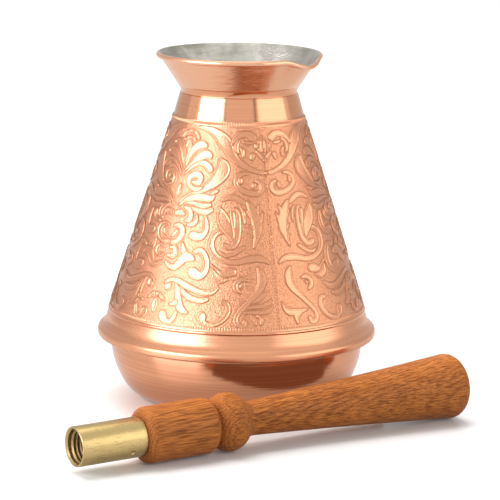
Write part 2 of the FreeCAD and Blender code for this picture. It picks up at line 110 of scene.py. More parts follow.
class HandleSizes(bpy.types.PropertyGroup):
    turn: angle("Direction", 31.5, "Direction of the lying handle")
    room: length("Room", 58.98, "Distance of the handle's axis from the pot's axis")
    back: length("Back", 89.97, "Ferrule mouth behind the nearest point")
    ferrule_radius: length("Ferrule", 6.0, "Outside radius of the ferrule")
    ferrule_length: length("Ferrule length", 21.5, "Length of the ferrule")
    thread_major: length("Thread, major", 5.0, "Major radius of the thread")
    thread_minor: length("Thread, minor", 4.32, "Minor radius of the thread")
    thread_pitch: length("Pitch", 1.25, "Pitch of the thread")
    thread_depth: length("Thread depth", 13.2, "Threaded depth of the ferrule")
    barrel_radius: length("Barrel", 8.45, "Radius of the barrel")
    barrel_end: length("Barrel end", 45.25, "End of the barrel from the ferrule's mouth")
    groove_radius: length("Groove", 6.0, "Radius of the groove behind the barrel")
    bead_radius: length("Bead", 8.92, "Radius of the bead")
    bead_middle: length("Bead place", 51.35, "Middle of the bead from the ferrule's mouth")
    bead_half: length("Bead half width", 5.2, "Half width of the bead")
    taper_start: length("Taper start", 60.5, "Thin end from the ferrule's mouth")
    taper_thin: length("Thin end", 5.3, "Radius of the thin end")
    taper_end: length("Taper end", 131.5, "Thick end from the ferrule's mouth")
    taper_thick: length("Thick end", 10.2, "Radius of the thick end")
    pin_radius: length("Pin", 0.75, "Radius of the ferrule's pin")
    pin_length: length("Pin length", 6.0, "Length of the ferrule's pin")
    pin_distance: length("Pin place", 16.5, "Pin from the ferrule's mouth")
    pin_turn: angle("Pin direction", 119.0, "Direction of the pin from upright")
    grip_length: length("Length", 136.2, "Butt from the ferrule's mouth")


class StudSizes(bpy.types.PropertyGroup):
    turn: angle("Direction", 62.0, "Direction of the stud")
    height: length("Height", 82.0, "Height of the stud on the cone")
    collar_face: length("Collar face", 0.9, "Underside of the collar above the cone")
    collar_radius: length("Collar", 6.0, "Radius of the collar")
    collar: length("Collar thickness", 1.4, "Thickness of the collar")
    thread: length("Thread", 9.5, "Threaded length")
    rivet_radius: length("Rivet", 2.5, "Radius of the rivet shank")
    head_face: length("Head face", 2.6, "Outer side of the riveted head below the cone's face")
    head_radius: length("Head", 4.2, "Radius of the riveted head")
    head: length("Head height", 1.3, "Height of the riveted head")


class Finishes(bpy.types.PropertyGroup):
    copper: colour("Copper", (0.77, 0.365, 0.205), "Polished copper")
    # Painted sheen: paler copper laid over the flare, for a brighter reflection there.
    copper_painted_sheen: colour("Pale copper", (0.90, 0.53, 0.345), "Painted sheen on the beaten flare")
    # Dull copper; in the ornament's stippled ground it also gives the painted shade in the pits.
    copper_dull_and_pit_shade: colour("Dull copper", (0.55, 0.23, 0.115), "Copper in the stippled ground")
    # Painted shade: copper for the grooves round the ornament's strokes and the nicks of its milled rows.
    copper_groove_shade: colour("Creased copper", (0.36, 0.135, 0.065), "Copper along the ornament's edges")
    tin: colour("Tin", (0.31, 0.293, 0.243), "Tinned inside")
    tin_bright: colour("Bright tin", (0.55, 0.53, 0.465), "Tin where it was wiped smooth")
    brass: colour("Brass", (0.55, 0.40, 0.17), "Satin brass")
    wood_light: colour("Wood, light", (0.68, 0.225, 0.045), "Stained beech between the flecks")
    wood_dark: colour("Wood, dark", (0.285, 0.068, 0.011), "Stained beech, late wood")
    wood_fleck: colour("Wood, fleck", (0.1, 0.023, 0.005), "Flecks along the grain")
    table: grey("Table", 0.95, "White table, as the camera sees it")
    table_grey: grey("Table, lighting", 0.46, "White table, as it lights the pieces")
    table_glow: grey("Table, mirrored", 0.24, "Light the table adds in reflections")
    table_haze: grey("Table, shadows", 0.06, "Light the table adds in its shadows")


def sizes():
    return bpy.context.scene.pot_sizes


def handle():
    return bpy.context.scene.handle_sizes


def stud():
    return bpy.context.scene.stud_sizes


def finishes():
    return bpy.context.scene.pot_finishes


# Shader expressions

class Value:
    """A socket whose Python operators add the Math nodes they stand for."""

    def __init__(self, shader, socket):
        self.shader = shader
        self.socket = socket

    def math(self, operation, *others):
        return self.shader.node("ShaderNodeMath", {"operation": operation}, {
            index: value for index, value in enumerate((self, *others))})

    def __add__(self, other):
        return self.math("ADD", other)

    def __sub__(self, other):
        return self.math("SUBTRACT", other)

    def __rsub__(self, other):
        return self.math("MULTIPLY_ADD", -1.0, other)

    def __mul__(self, other):
        return self.math("MULTIPLY", other)

    __radd__ = __add__
    __rmul__ = __mul__

    def between(self, low, high):
        """0 below low, 1 above high, smooth between them."""
        return self.shader.node("ShaderNodeMapRange", {"interpolation_type": "SMOOTHSTEP"}, {
            "Value": self, "From Min": low, "From Max": high})


class Shader:
    """The nodes of a material or a world, and the one way of adding to them."""

    def __init__(self, owner, surface="Principled BSDF"):
        owner.use_nodes = True
        self.owner = owner
        self.tree = owner.node_tree
        self.surface = self.tree.nodes[surface]

    def node(self, kind, settings=None, inputs=None, output=0):
        node = self.tree.nodes.new(kind)
        for key, setting in (settings or {}).items():
            setattr(node, key, setting)
        for key, value in (inputs or {}).items():
            self.feed(node.inputs[key], value)
        return Value(self, node.outputs[output])

    def feed(self, socket, value):
        if isinstance(value, Value):
            self.tree.links.new(value.socket, socket)
        elif isinstance(value, (int, float)):
            socket.default_value = value
        else:
            value = tuple(value)
            socket.default_value = value if len(value) == len(socket.default_value) else (*value, 1.0)

    def place(self):
        return self.node("ShaderNodeTexCoord", output="Object")

    def stretched(self, scale, turn=(0, 0, 0), origin=(0, 0, 0)):
        """Object coordinates seen from origin, turned with the piece and then scaled."""
        local = self.node("ShaderNodeMapping", {"vector_type": "TEXTURE"}, {
            "Vector": self.place(), "Location": origin, "Rotation": turn})
        return self.node("ShaderNodeVectorMath", {"operation": "MULTIPLY"}, {0: local, 1: scale})

    def noise(self, scale, detail=2.0, roughness=0.5, *place):
        """Noise with this many grains to the metre on each axis of a place: its turn and origin."""
        return self.node("ShaderNodeTexNoise", None, {
            "Vector": self.stretched(scale, *place), "Scale": 1.0, "Detail": detail, "Roughness": roughness})

    def even_noise(self, scale, detail=2.0, roughness=0.5):
        return self.node("ShaderNodeTexNoise", None, {
            "Vector": self.place(), "Scale": scale, "Detail": detail, "Roughness": roughness})

    def attribute(self, name):
        return self.node("ShaderNodeAttribute", {"attribute_name": name}, output="Fac")

    def ray(self, kind):
        return self.node("ShaderNodeLightPath", output="Is %s Ray" % kind)

    def mix(self, factor, first, second):
        return self.node("ShaderNodeMix", {"data_type": "RGBA"}, {0: factor, 6: first, 7: second}, output=2)

    def bump(self, height, distance, strength):
        return self.node("ShaderNodeBump", None, {
            "Height": height, "Distance": distance, "Strength": strength})

    def finish(self, **inputs):
        for name, value in inputs.items():
            self.feed(self.surface.inputs[name.replace("_", " ")], value)
        return self.owner


def new_shader(name):
    return Shader(bpy.data.materials.new(name))


# Materials

def copper_material(name, roughness, scoring, beaten=None):
    """Spun copper; scoring is how deep its turning lines are, 0 to 1.

    Above the height beaten, where one is given, it is uneven, rougher and paler: the paleness is painted sheen.
    """
    shader = new_shader(name)
    tint = finishes()
    lines = shader.noise((9, 9, 2600), 3.0, 0.6)
    bands = shader.noise((4, 4, 1300), 4.0, 0.65)
    clouds = shader.noise((30, 30, 55))
    streaks = (lines + bands) * 0.5
    shaded = streaks.between(0.38, 0.66) * (0.15 + 0.65 * scoring)
    hue = shader.mix(shaded, tint.copper, tint.copper_dull_and_pit_shade)
    relief = lines + bands
    rough = clouds * 0.06 + streaks * 0.1 * scoring + (roughness - 0.03)
    if beaten:
        height = shader.node("ShaderNodeSeparateXYZ", None, {0: shader.place()}, output="Z")
        uneven = height.between(beaten, beaten + 0.5 * MM)
        dents = shader.noise((75, 75, 240), 3.0, 0.6)
        relief = relief + dents * uneven * 20.0
        rough = rough + uneven * 0.1
        # Painted sheen: the flare is mixed towards paler copper, for a brighter reflection there.
        hue = shader.mix(uneven * 0.6, hue, tint.copper_painted_sheen)
    normal = shader.bump(relief, 0.04 * MM, 0.15 + 0.55 * scoring)
    return shader.finish(Base_Color=hue, Metallic=1.0, Normal=normal, Roughness=rough)


def relief_material():
    """Embossed copper: smooth raised scrolls on a finely stippled ground, with painted shade in the grooves along
    their edges and in the stipple's pits.
    """
    shader = new_shader("embossed_copper")
    tint = finishes()
    ground = shader.attribute("ground")
    # Painted shade along the grooves round the strokes and in the milled rows' nicks, with a darker line along the
    # seam and its stitches.
    groove_shade = shader.attribute("groove_shade")
    dots = shader.node("ShaderNodeTexVoronoi", {"feature": "F1"}, {
        "Vector": shader.place(), "Scale": 2100.0})
    grit = shader.even_noise(3600.0)
    clouds = shader.even_noise(60.0)
    stipple = (dots + grit * 0.6) * (ground * 0.75 + 0.25)
    # The relief's copper is dulled a little all over; the stippled ground gets painted shade in its pits.
    shaded = ground * (dots.between(0.2, 0.8) * 0.7 - 0.05) + 0.22
    hue = shader.mix(groove_shade * 0.9, shader.mix(shaded, tint.copper, tint.copper_dull_and_pit_shade), tint.copper_groove_shade)
    rough = ground * 0.02 + groove_shade * 0.05 + 0.26
    normal = shader.bump(stipple + clouds * 0.3, 0.21 * MM, 0.6)
    return shader.finish(Base_Color=hue, Metallic=1.0, Roughness=rough, Normal=normal)


def tin_material():
    """Wiped tin lining: cloudy, speckled and streaked round the pot; all pieces share it."""
    made = bpy.data.materials.get("wiped_tin")
    if made:
        return made
    shader = new_shader("wiped_tin")
    tint = finishes()
    marks = shader.noise((70, 70, 380), 4.0, 0.65)
    clouds = shader.noise((160, 160, 110), 3.0, 0.6)
    specks = shader.even_noise(1300.0, 2.0, 0.6)
    wiped = marks.between(0.38, 0.66) * 0.4 + clouds.between(0.4, 0.62) * 0.6
    hue = shader.mix(wiped, tint.tin_bright, tint.tin)
    rough = wiped * 0.16 + 0.26 + specks * 0.08
    normal = shader.bump(marks + specks * 1.2 + clouds, 0.18 * MM, 0.7)
    return shader.finish(Base_Color=hue, Metallic=1.0, Roughness=rough, Normal=normal)


def brass_material(name, place, shade=1.0, roughness=0.26):
    """Satin brass with turning lines round its axis and a few handling scratches."""
    shader = new_shader(name)
    lines = shader.noise((2400, 30, 30), 3.0, 0.6, *place)
    scratches = shader.noise((260, 1900, 1900), 4.0, 0.7, *place)
    clean = tuple(c * shade for c in finishes().brass)
    darker_brass = tuple(c * 0.62 for c in clean)
    worn = scratches.between(0.54, 0.68)
    hue = shader.mix(worn * 0.6, clean, darker_brass)
    normal = shader.bump(lines + scratches * 0.8, 0.06 * MM, 0.6)
    return shader.finish(Base_Color=hue, Metallic=1.0, Roughness=worn * 0.14 + roughness, Normal=normal)


def wood_material(place, pith, slant):
    """Stained beech: growth rings round the tree's pith, long fibres and short dark flecks."""
    shader = new_shader("beech")
    tint = finishes()
    turn = place[0]
    from_pith = shader.stretched((0, 1, 1), (turn[0], turn[1], turn[2] + slant), pith)
    reach = shader.node("ShaderNodeVectorMath", {"operation": "LENGTH"}, {0: from_pith}, output="Value")
    wobble = shader.noise((14, 45, 45), 2.0, 0.5, *place)
    fibres = shader.noise((38, 2900, 2900), 4.0, 0.7, *place)
    flecks = shader.noise((170, 5200, 5200), 2.0, 0.5, *place)
    clouds = shader.noise((18, 90, 90), 3.0, 0.5, *place)
    late = (reach * 6800.0 + wobble * 8.0).math("SINE").between(-0.2, 1.0)
    dark = flecks.between(0.55, 0.62)
    band = late * 0.22 + fibres.between(0.36, 0.66) * 0.62 + clouds * 0.8 - 0.42
    body = shader.mix(band.between(0.0, 1.0), tint.wood_light, tint.wood_dark)
    hue = shader.mix(dark * 0.62, body, tint.wood_fleck)
    normal = shader.bump(1.0 - dark - fibres * 0.9, 0.1 * MM, 0.8)
    return shader.finish(Base_Color=hue, Roughness=dark * 0.15 + 0.5, Specular_IOR_Level=0.18, Normal=normal)


def table_material():
    """White table; the camera sees it whiter than it lights the pieces, so that only near shadows show."""
    shader = new_shader("white_table")
    tint = finishes()
    camera, mirror, glass = (shader.ray(kind) for kind in ("Camera", "Glossy", "Transmission"))
    reflected = shader.mix(mirror.math("MAXIMUM", glass), (0, 0, 0), tint.table_glow)
    return shader.finish(Base_Color=shader.mix(camera, tint.table_grey, tint.table), Roughness=0.25,
                         Specular_IOR_Level=0.3, Emission_Strength=1.0,
                         Emission_Color=shader.mix(camera, reflected, tint.table_haze))


def card_material(level, tint):
    """Studio card that shows one even tone in reflections."""
    return new_shader("card").finish(Base_Color=(0, 0, 0), Roughness=1.0, Specular_IOR_Level=0.0,
                                     Emission_Color=tint, Emission_Strength=level)


# Modelling helpers

def arc(centre, radius, first, last, count):
    """Points of an arc in the profile plane; angles in degrees from the first axis."""
    points = []
    for step in range(count + 1):
        turn = math.radians(first + (last - first) * step / count)
        points.append((centre[0] + radius * math.cos(turn), centre[1] + radius * math.sin(turn)))
    return points


def bow(half_width, rise):
    """Radius and half angle in degrees of the arc that rises by this much over a chord of this half width."""
    radius = (half_width ** 2 + rise ** 2) / (2 * rise)
    return radius, math.degrees(math.asin(half_width / radius))


def pick(piece, *others):
    """Select these pieces alone, the first one active."""
    bpy.ops.object.select_all(action="DESELECT")
    for each in (piece, *others):
        each.select_set(True)
    bpy.context.view_layer.objects.active = piece


def draw_profile(name, points):
    """Start from a plane drawn together to one corner and extrude it along the profile."""
    bpy.ops.object.select_all(action="DESELECT")
    bpy.ops.mesh.primitive_plane_add(size=MM, location=(0, 0, 0))
    piece = bpy.context.object
    piece.name = name
    piece.data.name = name
    bpy.ops.object.mode_set(mode="EDIT")
    bpy.ops.mesh.select_all(action="SELECT")
    bpy.ops.mesh.merge(type="CENTER")
    bpy.ops.transform.translate(value=points[0])
    for here, there in zip(points, points[1:]):
        step = tuple(b - a for a, b in zip(here, there))
        bpy.ops.mesh.extrude_region_move(TRANSFORM_OT_translate={"value": step})
    return piece


def close_mesh(sharp=38.0):
    """Merge doubles, point the faces outward, leave edit mode and shade."""
    bpy.ops.mesh.select_all(action="SELECT")
    bpy.ops.mesh.remove_doubles(threshold=MERGE)
    bpy.ops.mesh.normals_make_consistent(inside=False)
    bpy.ops.object.mode_set(mode="OBJECT")
    bpy.ops.object.shade_smooth_by_angle(angle=math.radians(sharp))


def turned(name, profile, steps, axis):
    """Turn a closed profile: (radius, height) if UPRIGHT, (distance, radius) if ALONG the X axis."""
    piece = draw_profile(name, [(x, 0, z) for x, z in (*profile, profile[0])])
    bpy.ops.mesh.select_all(action="SELECT")
    bpy.ops.mesh.spin(steps=steps, angle=FULL_TURN, center=(0, 0, 0), axis=axis)
    close_mesh()
    return piece


def threaded(name, start, turns, sharp_radius, root_radius, pitch):
    """One thread form swept along X with the Screw modifier."""
    crest = pitch * 0.125
    flank = pitch * 0.3125
    form = [(start, sharp_radius), (start + crest, sharp_radius), (start + crest + flank, root_radius),
            (start + 2 * crest + 1.4 * flank, root_radius), (start + pitch, sharp_radius)]
    piece = draw_profile(name, [(distance, 0, radius) for distance, radius in form])
    bpy.ops.object.mode_set(mode="OBJECT")
    screw = piece.modifiers.new("thread", "SCREW")
    screw.axis = "X"
    screw.angle = FULL_TURN
    screw.screw_offset = pitch
    screw.iterations = turns
    screw.steps = screw.render_steps = 40
    screw.use_merge_vertices = True
    screw.merge_threshold = MERGE
    bpy.ops.object.modifier_apply(modifier=screw.name)
    bpy.ops.object.mode_set(mode="EDIT")
    close_mesh()
    return piece


def join(first, *others):
    pick(first, *others)
    bpy.ops.object.join()


def put(piece, matrix):
    """Move a piece to its place and keep that place in its mesh."""
    pick(piece)
    piece.matrix_world = matrix
    bpy.ops.object.transform_apply(location=True, rotation=True, scale=True)


def dress(piece, body, slot, materials, *nodes):
    """Materials, body and the CAD nodes that a finished piece stands for; the slot argument is not used."""
    piece.data.materials.clear()
    for material in materials:
        piece.data.materials.append(material)
    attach(piece, body)
    if nodes:
        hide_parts(*nodes)


def line_inside(piece, is_inside):
    """Give the second material to the faces that is_inside picks by centre and normal."""
    for face in piece.data.polygons:
        face.material_index = 1 if is_inside(face.center, face.normal) else 0


def faces_axis(centre, normal, limit=-0.15):
    return centre.x * normal.x + centre.y * normal.y < limit * math.hypot(centre.x, centre.y)


def coordinates(piece):
    points = np.empty(len(piece.data.vertices) * 3)
    piece.data.vertices.foreach_get("co", points)
    return points.reshape(-1, 3)


def set_coordinates(piece, points):
    piece.data.vertices.foreach_set("co", points.reshape(-1))
    piece.data.update()


def paint(piece, name, values):
    """Keep one number per point on the mesh, for the material to read."""
    layer = piece.data.attributes.new(name, "FLOAT", "POINT")
    layer.data.foreach_set("value", values)


# Places

def cone_slope():
    pot = sizes()
    return (pot.cone_low_radius - pot.cone_top_radius) / (CONE_BOX[1][2] - pot.cone_low)


def across_wall():
    """What a length square to the cone's wall measures along its radius."""
    return math.sqrt(1 + cone_slope() ** 2)


def cone_radius(height):
    return sizes().cone_top_radius + (CONE_BOX[1][2] - height) * cone_slope()


def handle_matrix():
    """From the handle's own axis, X from the ferrule's mouth, to where it lies."""
    grip = handle()
    rise = math.atan((grip.taper_thick - grip.bead_radius) / (grip.taper_end - grip.bead_middle))
    height = grip.bead_radius * math.cos(rise) - grip.bead_middle * math.sin(rise)
    base = Vector((grip.room * math.sin(grip.turn) - grip.back * math.cos(grip.turn),
                   -grip.room * math.cos(grip.turn) - grip.back * math.sin(grip.turn), height))
    return Matrix.Translation(base) @ Matrix.Rotation(grip.turn, 4, "Z") @ Matrix.Rotation(-rise, 4, "Y")


def stud_matrix():
    """From the stud's own axis, X outward from the cone's face, to its place on the cone."""
    screw = stud()
    radius = cone_radius(screw.height)
    foot = Vector((radius * math.cos(screw.turn), radius * math.sin(screw.turn), screw.height))
    lean = math.atan(cone_slope())
    return Matrix.Translation(foot) @ Matrix.Rotation(screw.turn, 4, "Z") @ Matrix.Rotation(-lean, 4, "Y")


def turn_and_origin(matrix):
    return tuple(matrix.to_euler()), tuple(matrix.to_translation())


# Ornament: one half of a repeat. A stroke is a run of (degrees from the seam's axis, height in mm,
# half width in mm). Later strokes lie over earlier ones. The half is mirrored at both its edges.

HALF_REPEAT = 60.0
STROKES = (
    # swag from the bud up to the palmette, with a ball above it
    ((0, 76.6, 0.6), (5, 76.9, 0.65), (10, 77.7, 0.75), (15, 78.9, 0.9), (20, 80.5, 1.1), (24, 82.3, 1.4),
     (27, 84.3, 1.8), (30.5, 86.2, 2.1), (35, 87.8, 1.6), (40, 88.9, 1.2), (46, 89.7, 0.9), (53, 89.9, 0.5)),
    ((9.2, 81.2, 0.7), (8.4, 82.1, 0.7), (7.4, 82.2, 0.4)),
    # scroll above the swag and the curl within it
    ((24.4, 85.2, 0.35), (22, 86.7, 0.7), (18.5, 87.9, 0.95), (14.5, 88.3, 1.0), (11, 88.1, 1.1),
     (8, 87.3, 1.25)),
    ((18.6, 82.7, 0.35), (20.1, 83.3, 0.6), (20.5, 84.8, 0.7), (19.2, 86.0, 0.6), (16.6, 86.6, 0.45)),
    ((15.4, 86.0, 0.3), (12.6, 85.7, 0.5), (9.4, 85.6, 0.4)),
    ((17.4, 84.1, 0.3), (15.8, 83.2, 0.6), (15.3, 81.6, 0.4)),
    # bud in its calyx
    ((0, 83.2, 1.5), (0, 84.7, 2.1), (0, 86.2, 1.2)),
    ((1.3, 83.0, 0.3), (1.4, 84.6, 0.45), (1.1, 86.2, 0.3)),
    ((5.6, 84.4, 0.5), (5.5, 85.0, 0.6)),
    ((5.4, 83.0, 0.35), (2.7, 81.7, 0.6), (0, 80.4, 0.65)),
    # scroll below the swag, curled at both ends
    ((13.6, 76.5, 0.4), (17, 76.3, 0.65), (20.2, 75.1, 0.75), (20.2, 73.3, 0.75), (17.6, 72.0, 0.8),
     (14, 71.1, 0.85), (10, 70.6, 0.9), (6, 70.7, 0.9), (3.6, 71.9, 0.9), (4.0, 73.4, 0.8),
     (6.6, 74.2, 0.45)),
    ((17.4, 74.1, 0.7), (17.6, 74.7, 0.7)),
    ((8.9, 72.7, 0.7), (8.5, 73.2, 0.7)),
    # broad leaf beside the palmette, on a stem from the palmette's foot
    ((58.5, 66.2, 0.3), (56, 67.9, 0.5), (51.5, 69.3, 0.6), (47, 70.2, 0.75), (41.5, 71.5, 1.0),
     (36.5, 73.2, 1.6),
     (32.6, 75.2, 2.1), (30, 77.2, 2.3), (29.8, 78.9, 1.8), (31.6, 80.4, 0.8)),
    # fingers of the leaf below that stem
    ((57.5, 66.0, 0.35), (53, 67.8, 0.7), (48, 68.7, 0.95), (42, 69.0, 1.15), (37.2, 68.8, 1.15),
     (35.2, 69.4, 0.8)),
    ((36.2, 70.3, 0.5), (33.6, 70.9, 0.6), (31.6, 71.3, 0.25)),
    ((54, 66.7, 0.3), (49, 67.1, 0.5), (44, 66.7, 0.7), (39.6, 66.5, 0.75), (36.3, 66.9, 0.55)),
    ((50.5, 65.8, 0.35), (46, 65.3, 0.6), (42, 64.8, 0.8), (38, 64.7, 0.9), (35.3, 65.4, 0.75)),
    # palmette: hood, middle petal, three lobes and the volute under them
    ((60, 88.5, 0.6), (57, 88.2, 0.7), (54.4, 87.7, 0.7), (52.2, 86.6, 0.55)),
    ((60, 86.6, 0.5), (57.2, 86.2, 0.6), (54.6, 85.7, 0.5)),
    ((60, 77.5, 0.5), (60, 80.5, 1.0), (60, 83.2, 1.5), (60, 85.0, 1.0)),
    ((58.7, 78.0, 0.35), (56.6, 80.9, 0.85), (53.8, 83.2, 1.25), (50, 84.5, 1.3), (46.8, 84.6, 1.15),
     (44.9, 84.4, 0.8)),
    ((58.5, 76.7, 0.35), (54, 78.6, 0.7), (50, 80.3, 1.05), (46, 81.5, 1.35), (42.6, 81.8, 1.35),
     (40.4, 81.5, 1.0)),
    ((58.5, 75.4, 0.35), (53, 77.8, 0.55), (48, 79.0, 0.7), (44, 79.1, 0.95), (41, 78.4, 1.2),
     (39.2, 77.6, 1.1)),
    ((50.7, 73.3, 0.45), (48.5, 73.2, 0.65), (46.0, 73.5, 1.1), (45.4, 74.9, 1.1), (48, 75.7, 1.05),
     (51.5, 75.3, 1.0),
     (53.8, 73.9, 0.95), (53, 72.4, 0.85), (50, 71.5, 0.75), (46.5, 71.3, 0.6), (43, 71.9, 0.35)),
    ((60, 68.8, 0.3), (60, 70.5, 0.8), (60, 72.2, 0.3)),
    # curls under the palmette
    ((57.8, 63.6, 0.95), (55, 63.8, 1.05), (53.2, 63.5, 0.7)),
    ((53, 65.6, 0.4), (49.6, 64.9, 0.85), (47.9, 63.4, 0.95), (48.6, 62.0, 0.85), (50.8, 61.6, 0.5)),
    ((43.9, 63.3, 0.45), (43.8, 61.9, 0.7), (45.8, 60.8, 0.75), (49.4, 60.4, 0.4)),
    ((60, 54.9, 0.75), (57, 54.7, 0.8), (53.8, 55.4, 0.9), (51.6, 57.2, 1.0), (52.2, 59.2, 1.0),
     (55, 60.0, 0.8),
     (57.6, 59.8, 0.5)),
    ((58.6, 56.4, 0.3), (56.4, 57.4, 0.7), (55.4, 58.2, 0.6)),
    # broad stem that forks into a leaf
    ((50.2, 54.9, 0.35), (49.2, 53.2, 0.9), (47.6, 51.6, 1.2)),
    ((59, 48.8, 0.4), (56.2, 47.7, 0.75), (53, 47.4, 1.0), (50.4, 48.7, 1.25), (48, 50.5, 1.55),
     (45, 50.9, 1.3),
     (42.7, 50.5, 0.7)),
    ((58.2, 50.8, 0.5), (55.4, 50.6, 0.8), (53.6, 51.6, 0.9), (54.6, 53.1, 0.85), (57.4, 53.2, 0.5)),
    # ring scrolls beside the volute
    ((38.6, 63.2, 0.6), (37.4, 61.0, 0.9), (37.6, 59.0, 1.0), (39.6, 57.4, 1.1), (42.5, 57.2, 1.35),
     (44.8, 57.5, 1.3)),
    ((42.0, 52.7, 0.7), (39.2, 53.3, 0.85), (36.6, 52.0, 1.0), (35.1, 49.6, 1.05), (35.5, 47.1, 1.1),
     (38, 45.7, 1.25),
     (41.0, 46.2, 1.7), (42.6, 46.7, 1.4)),
    # great volute with its branch, stem and leaves
    ((2.8, 49.7, 0.3), (5.2, 50.7, 0.75), (9, 51.2, 1.05), (14, 50.9, 0.95), (19, 50.2, 0.85),
     (24, 50.3, 0.85),
     (28.5, 51.3, 0.9), (32, 53.1, 0.95), (33.4, 55.5, 0.95), (32.2, 57.8, 0.9), (29.2, 59.0, 0.8),
     (26, 59.0, 0.65), (23.2, 58.2, 0.35)),
    ((16, 54.5, 0.5), (18.6, 53.5, 0.65), (21.6, 52.5, 0.6), (25, 52.1, 0.5), (28.4, 52.9, 0.25)),
    ((26.2, 55.0, 0.85), (24, 54.6, 0.9), (21.6, 54.9, 0.9), (19.5, 56.5, 0.95), (18.7, 59, 0.95),
     (18.8, 61.6, 1.0),
     (19.6, 64, 1.15), (20.6, 65.5, 0.9)),
    ((21.9, 56.6, 0.35), (23.0, 58.4, 1.1), (24.8, 60.2, 1.75), (27.0, 62.2, 1.95), (28.8, 64.4, 1.35),
     (30.0, 66.3, 0.3)),
    ((20.9, 57.2, 0.25), (21.0, 59.6, 0.4), (21.5, 62.2, 0.75), (22.3, 64.6, 0.85)),
    ((29.2, 68.3, 0.4), (26, 69.2, 0.8), (22, 69.4, 0.9), (18, 68.6, 0.9), (14.6, 67.5, 0.6)),
    ((14.9, 61.6, 0.2), (15.0, 63.2, 0.45), (15.7, 65.0, 0.5), (17.2, 66.3, 0.3)),
    # tongue leaf and curl under the volute
    ((32.4, 49.1, 0.35), (29.2, 47.4, 0.65), (26.2, 46.7, 0.8), (23.6, 47.1, 1.4), (21.3, 47.2, 1.25)),
    ((31.4, 47.6, 0.4), (29.6, 45.7, 1.1), (27.0, 44.8, 1.05), (24.2, 45.0, 0.45)),
    ((14.6, 44.8, 0.4), (17, 45.0, 0.65), (19.5, 43.9, 0.8), (19.6, 42.3, 0.8), (17.6, 41.2, 0.45)),
    ((17.2, 43.0, 0.45), (16.6, 43.6, 0.4)),
    # long leaf that ends in the lower curl
    ((8.6, 48.2, 0.4), (7.4, 46.5, 1.1), (7.2, 44.2, 1.3), (8.7, 42.0, 1.15), (11.4, 40.0, 0.9),
     (14.3, 38.0, 0.75),
     (17.3, 35.9, 0.75), (19.2, 34.0, 0.75), (19.3, 32.4, 0.75), (17.9, 31.4, 0.75), (16.0, 31.5, 0.75),
     (15.4, 32.6, 0.65)),
    # acanthus spray at the bottom
    ((54.5, 41.6, 1.2), (54.3, 42.0, 1.2)),
    ((56.5, 42.5, 0.4), (53.4, 43.7, 0.65), (49, 43.6, 0.85), (45, 42.6, 1.0), (40.5, 41.6, 0.95),
     (36, 40.8, 0.9),
     (31.5, 41.0, 0.9), (28.2, 42.4, 0.45)),
    ((47.4, 41.9, 0.35), (44, 39.8, 0.9), (40, 38.7, 0.9), (36, 38.4, 0.9), (32.8, 38.9, 0.5)),
    ((50.2, 42.6, 0.4), (48.5, 41.1, 0.85), (47.7, 39.0, 1.1), (46.9, 37.0, 1.35), (45.0, 35.3, 1.15),
     (42.2, 34.5, 0.5)),
    ((48.6, 37.2, 0.9), (50.2, 36.6, 0.6), (51.8, 36.4, 0.3)),
    ((54.4, 33.0, 1.45), (53.2, 31.8, 1.2), (50.6, 31.1, 0.8), (48.6, 32.3, 0.75), (47.6, 34.2, 0.6)),
    ((34.9, 33.7, 1.45), (34.4, 32.2, 1.0), (31, 31.4, 0.8), (27, 32.2, 0.8), (24.1, 34, 0.85),
     (22.9, 36, 0.85), (23.7, 37.9, 0.75), (25.9, 38.1, 0.75)),
    ((60, 38.9, 0.6), (57.6, 38.5, 0.75), (55, 37.3, 0.35)),
    ((60, 37.2, 0.5), (60, 35.4, 1.1), (60, 33.7, 0.5)),
)
# Leaves with teeth: the runs of one leaf are raised together.
TOOTHED = (
    # leaf beside the seam
    (((13.4, 68.0, 0.4), (11.2, 66.3, 1.1), (9.2, 64.1, 1.45), (8.0, 61.8, 1.6), (8.0, 59.5, 1.25),
      (8.9, 57.1, 0.85),
      (10.4, 54.5, 0.25)),
     ((6.4, 61.8, 0.85), (4.1, 64.9, 0.12)),
     ((7.8, 65.0, 0.7), (6.3, 67.2, 0.12)),
     ((6.9, 58.6, 0.6), (5.0, 60.6, 0.12)),
     ((9.6, 60.0, 0.55), (12.6, 61.2, 0.12)),
     ((11.0, 63.6, 0.6), (13.8, 65.6, 0.12)),
     ((9.6, 57.6, 0.4), (11.8, 57.9, 0.12))),
)
# Leaf under the long one: a fan of fingers left of the seam, a wing with two points right of it.
FAN = (
    (((12.6, 38.0, 0.35), (9.6, 39.1, 0.8), (6.9, 40.4, 0.75), (5.0, 41.1, 0.15)),
     ((6.6, 42.6, 0.5), (4.7, 43.9, 0.12))),
    (((14.6, 36.5, 0.35), (11, 36.9, 0.55), (7.6, 37.2, 0.65), (4.8, 37.9, 0.6), (3.0, 39.0, 0.15)),),
    (((15.6, 35.2, 0.35), (11, 35.3, 0.6), (7, 35.3, 0.7), (4.4, 35.8, 0.65), (2.6, 37.2, 0.2)),),
    (((12.6, 34.3, 0.4), (11.3, 33.0, 0.6), (10.6, 31.6, 0.25)),),
    (((9.6, 34.2, 0.4), (8.1, 33.3, 0.65), (8.4, 31.8, 0.3)),),
)
WING = (
    (((15.0, 35.2, 0.25), (11.4, 35.0, 0.7), (8, 34.8, 1.05), (5, 35.1, 1.0), (3.1, 36.3, 0.65),
      (1.9, 38.0, 0.12)),
     ((8.8, 34.5, 1.0), (8.6, 33.0, 0.85), (8.8, 31.2, 0.25)),
     ((11.4, 34.7, 0.5), (9.6, 33.9, 0.7))),
)


def smooth(share):
    share = np.clip(share, 0.0, 1.0)
    return share * share * (3.0 - 2.0 * share)


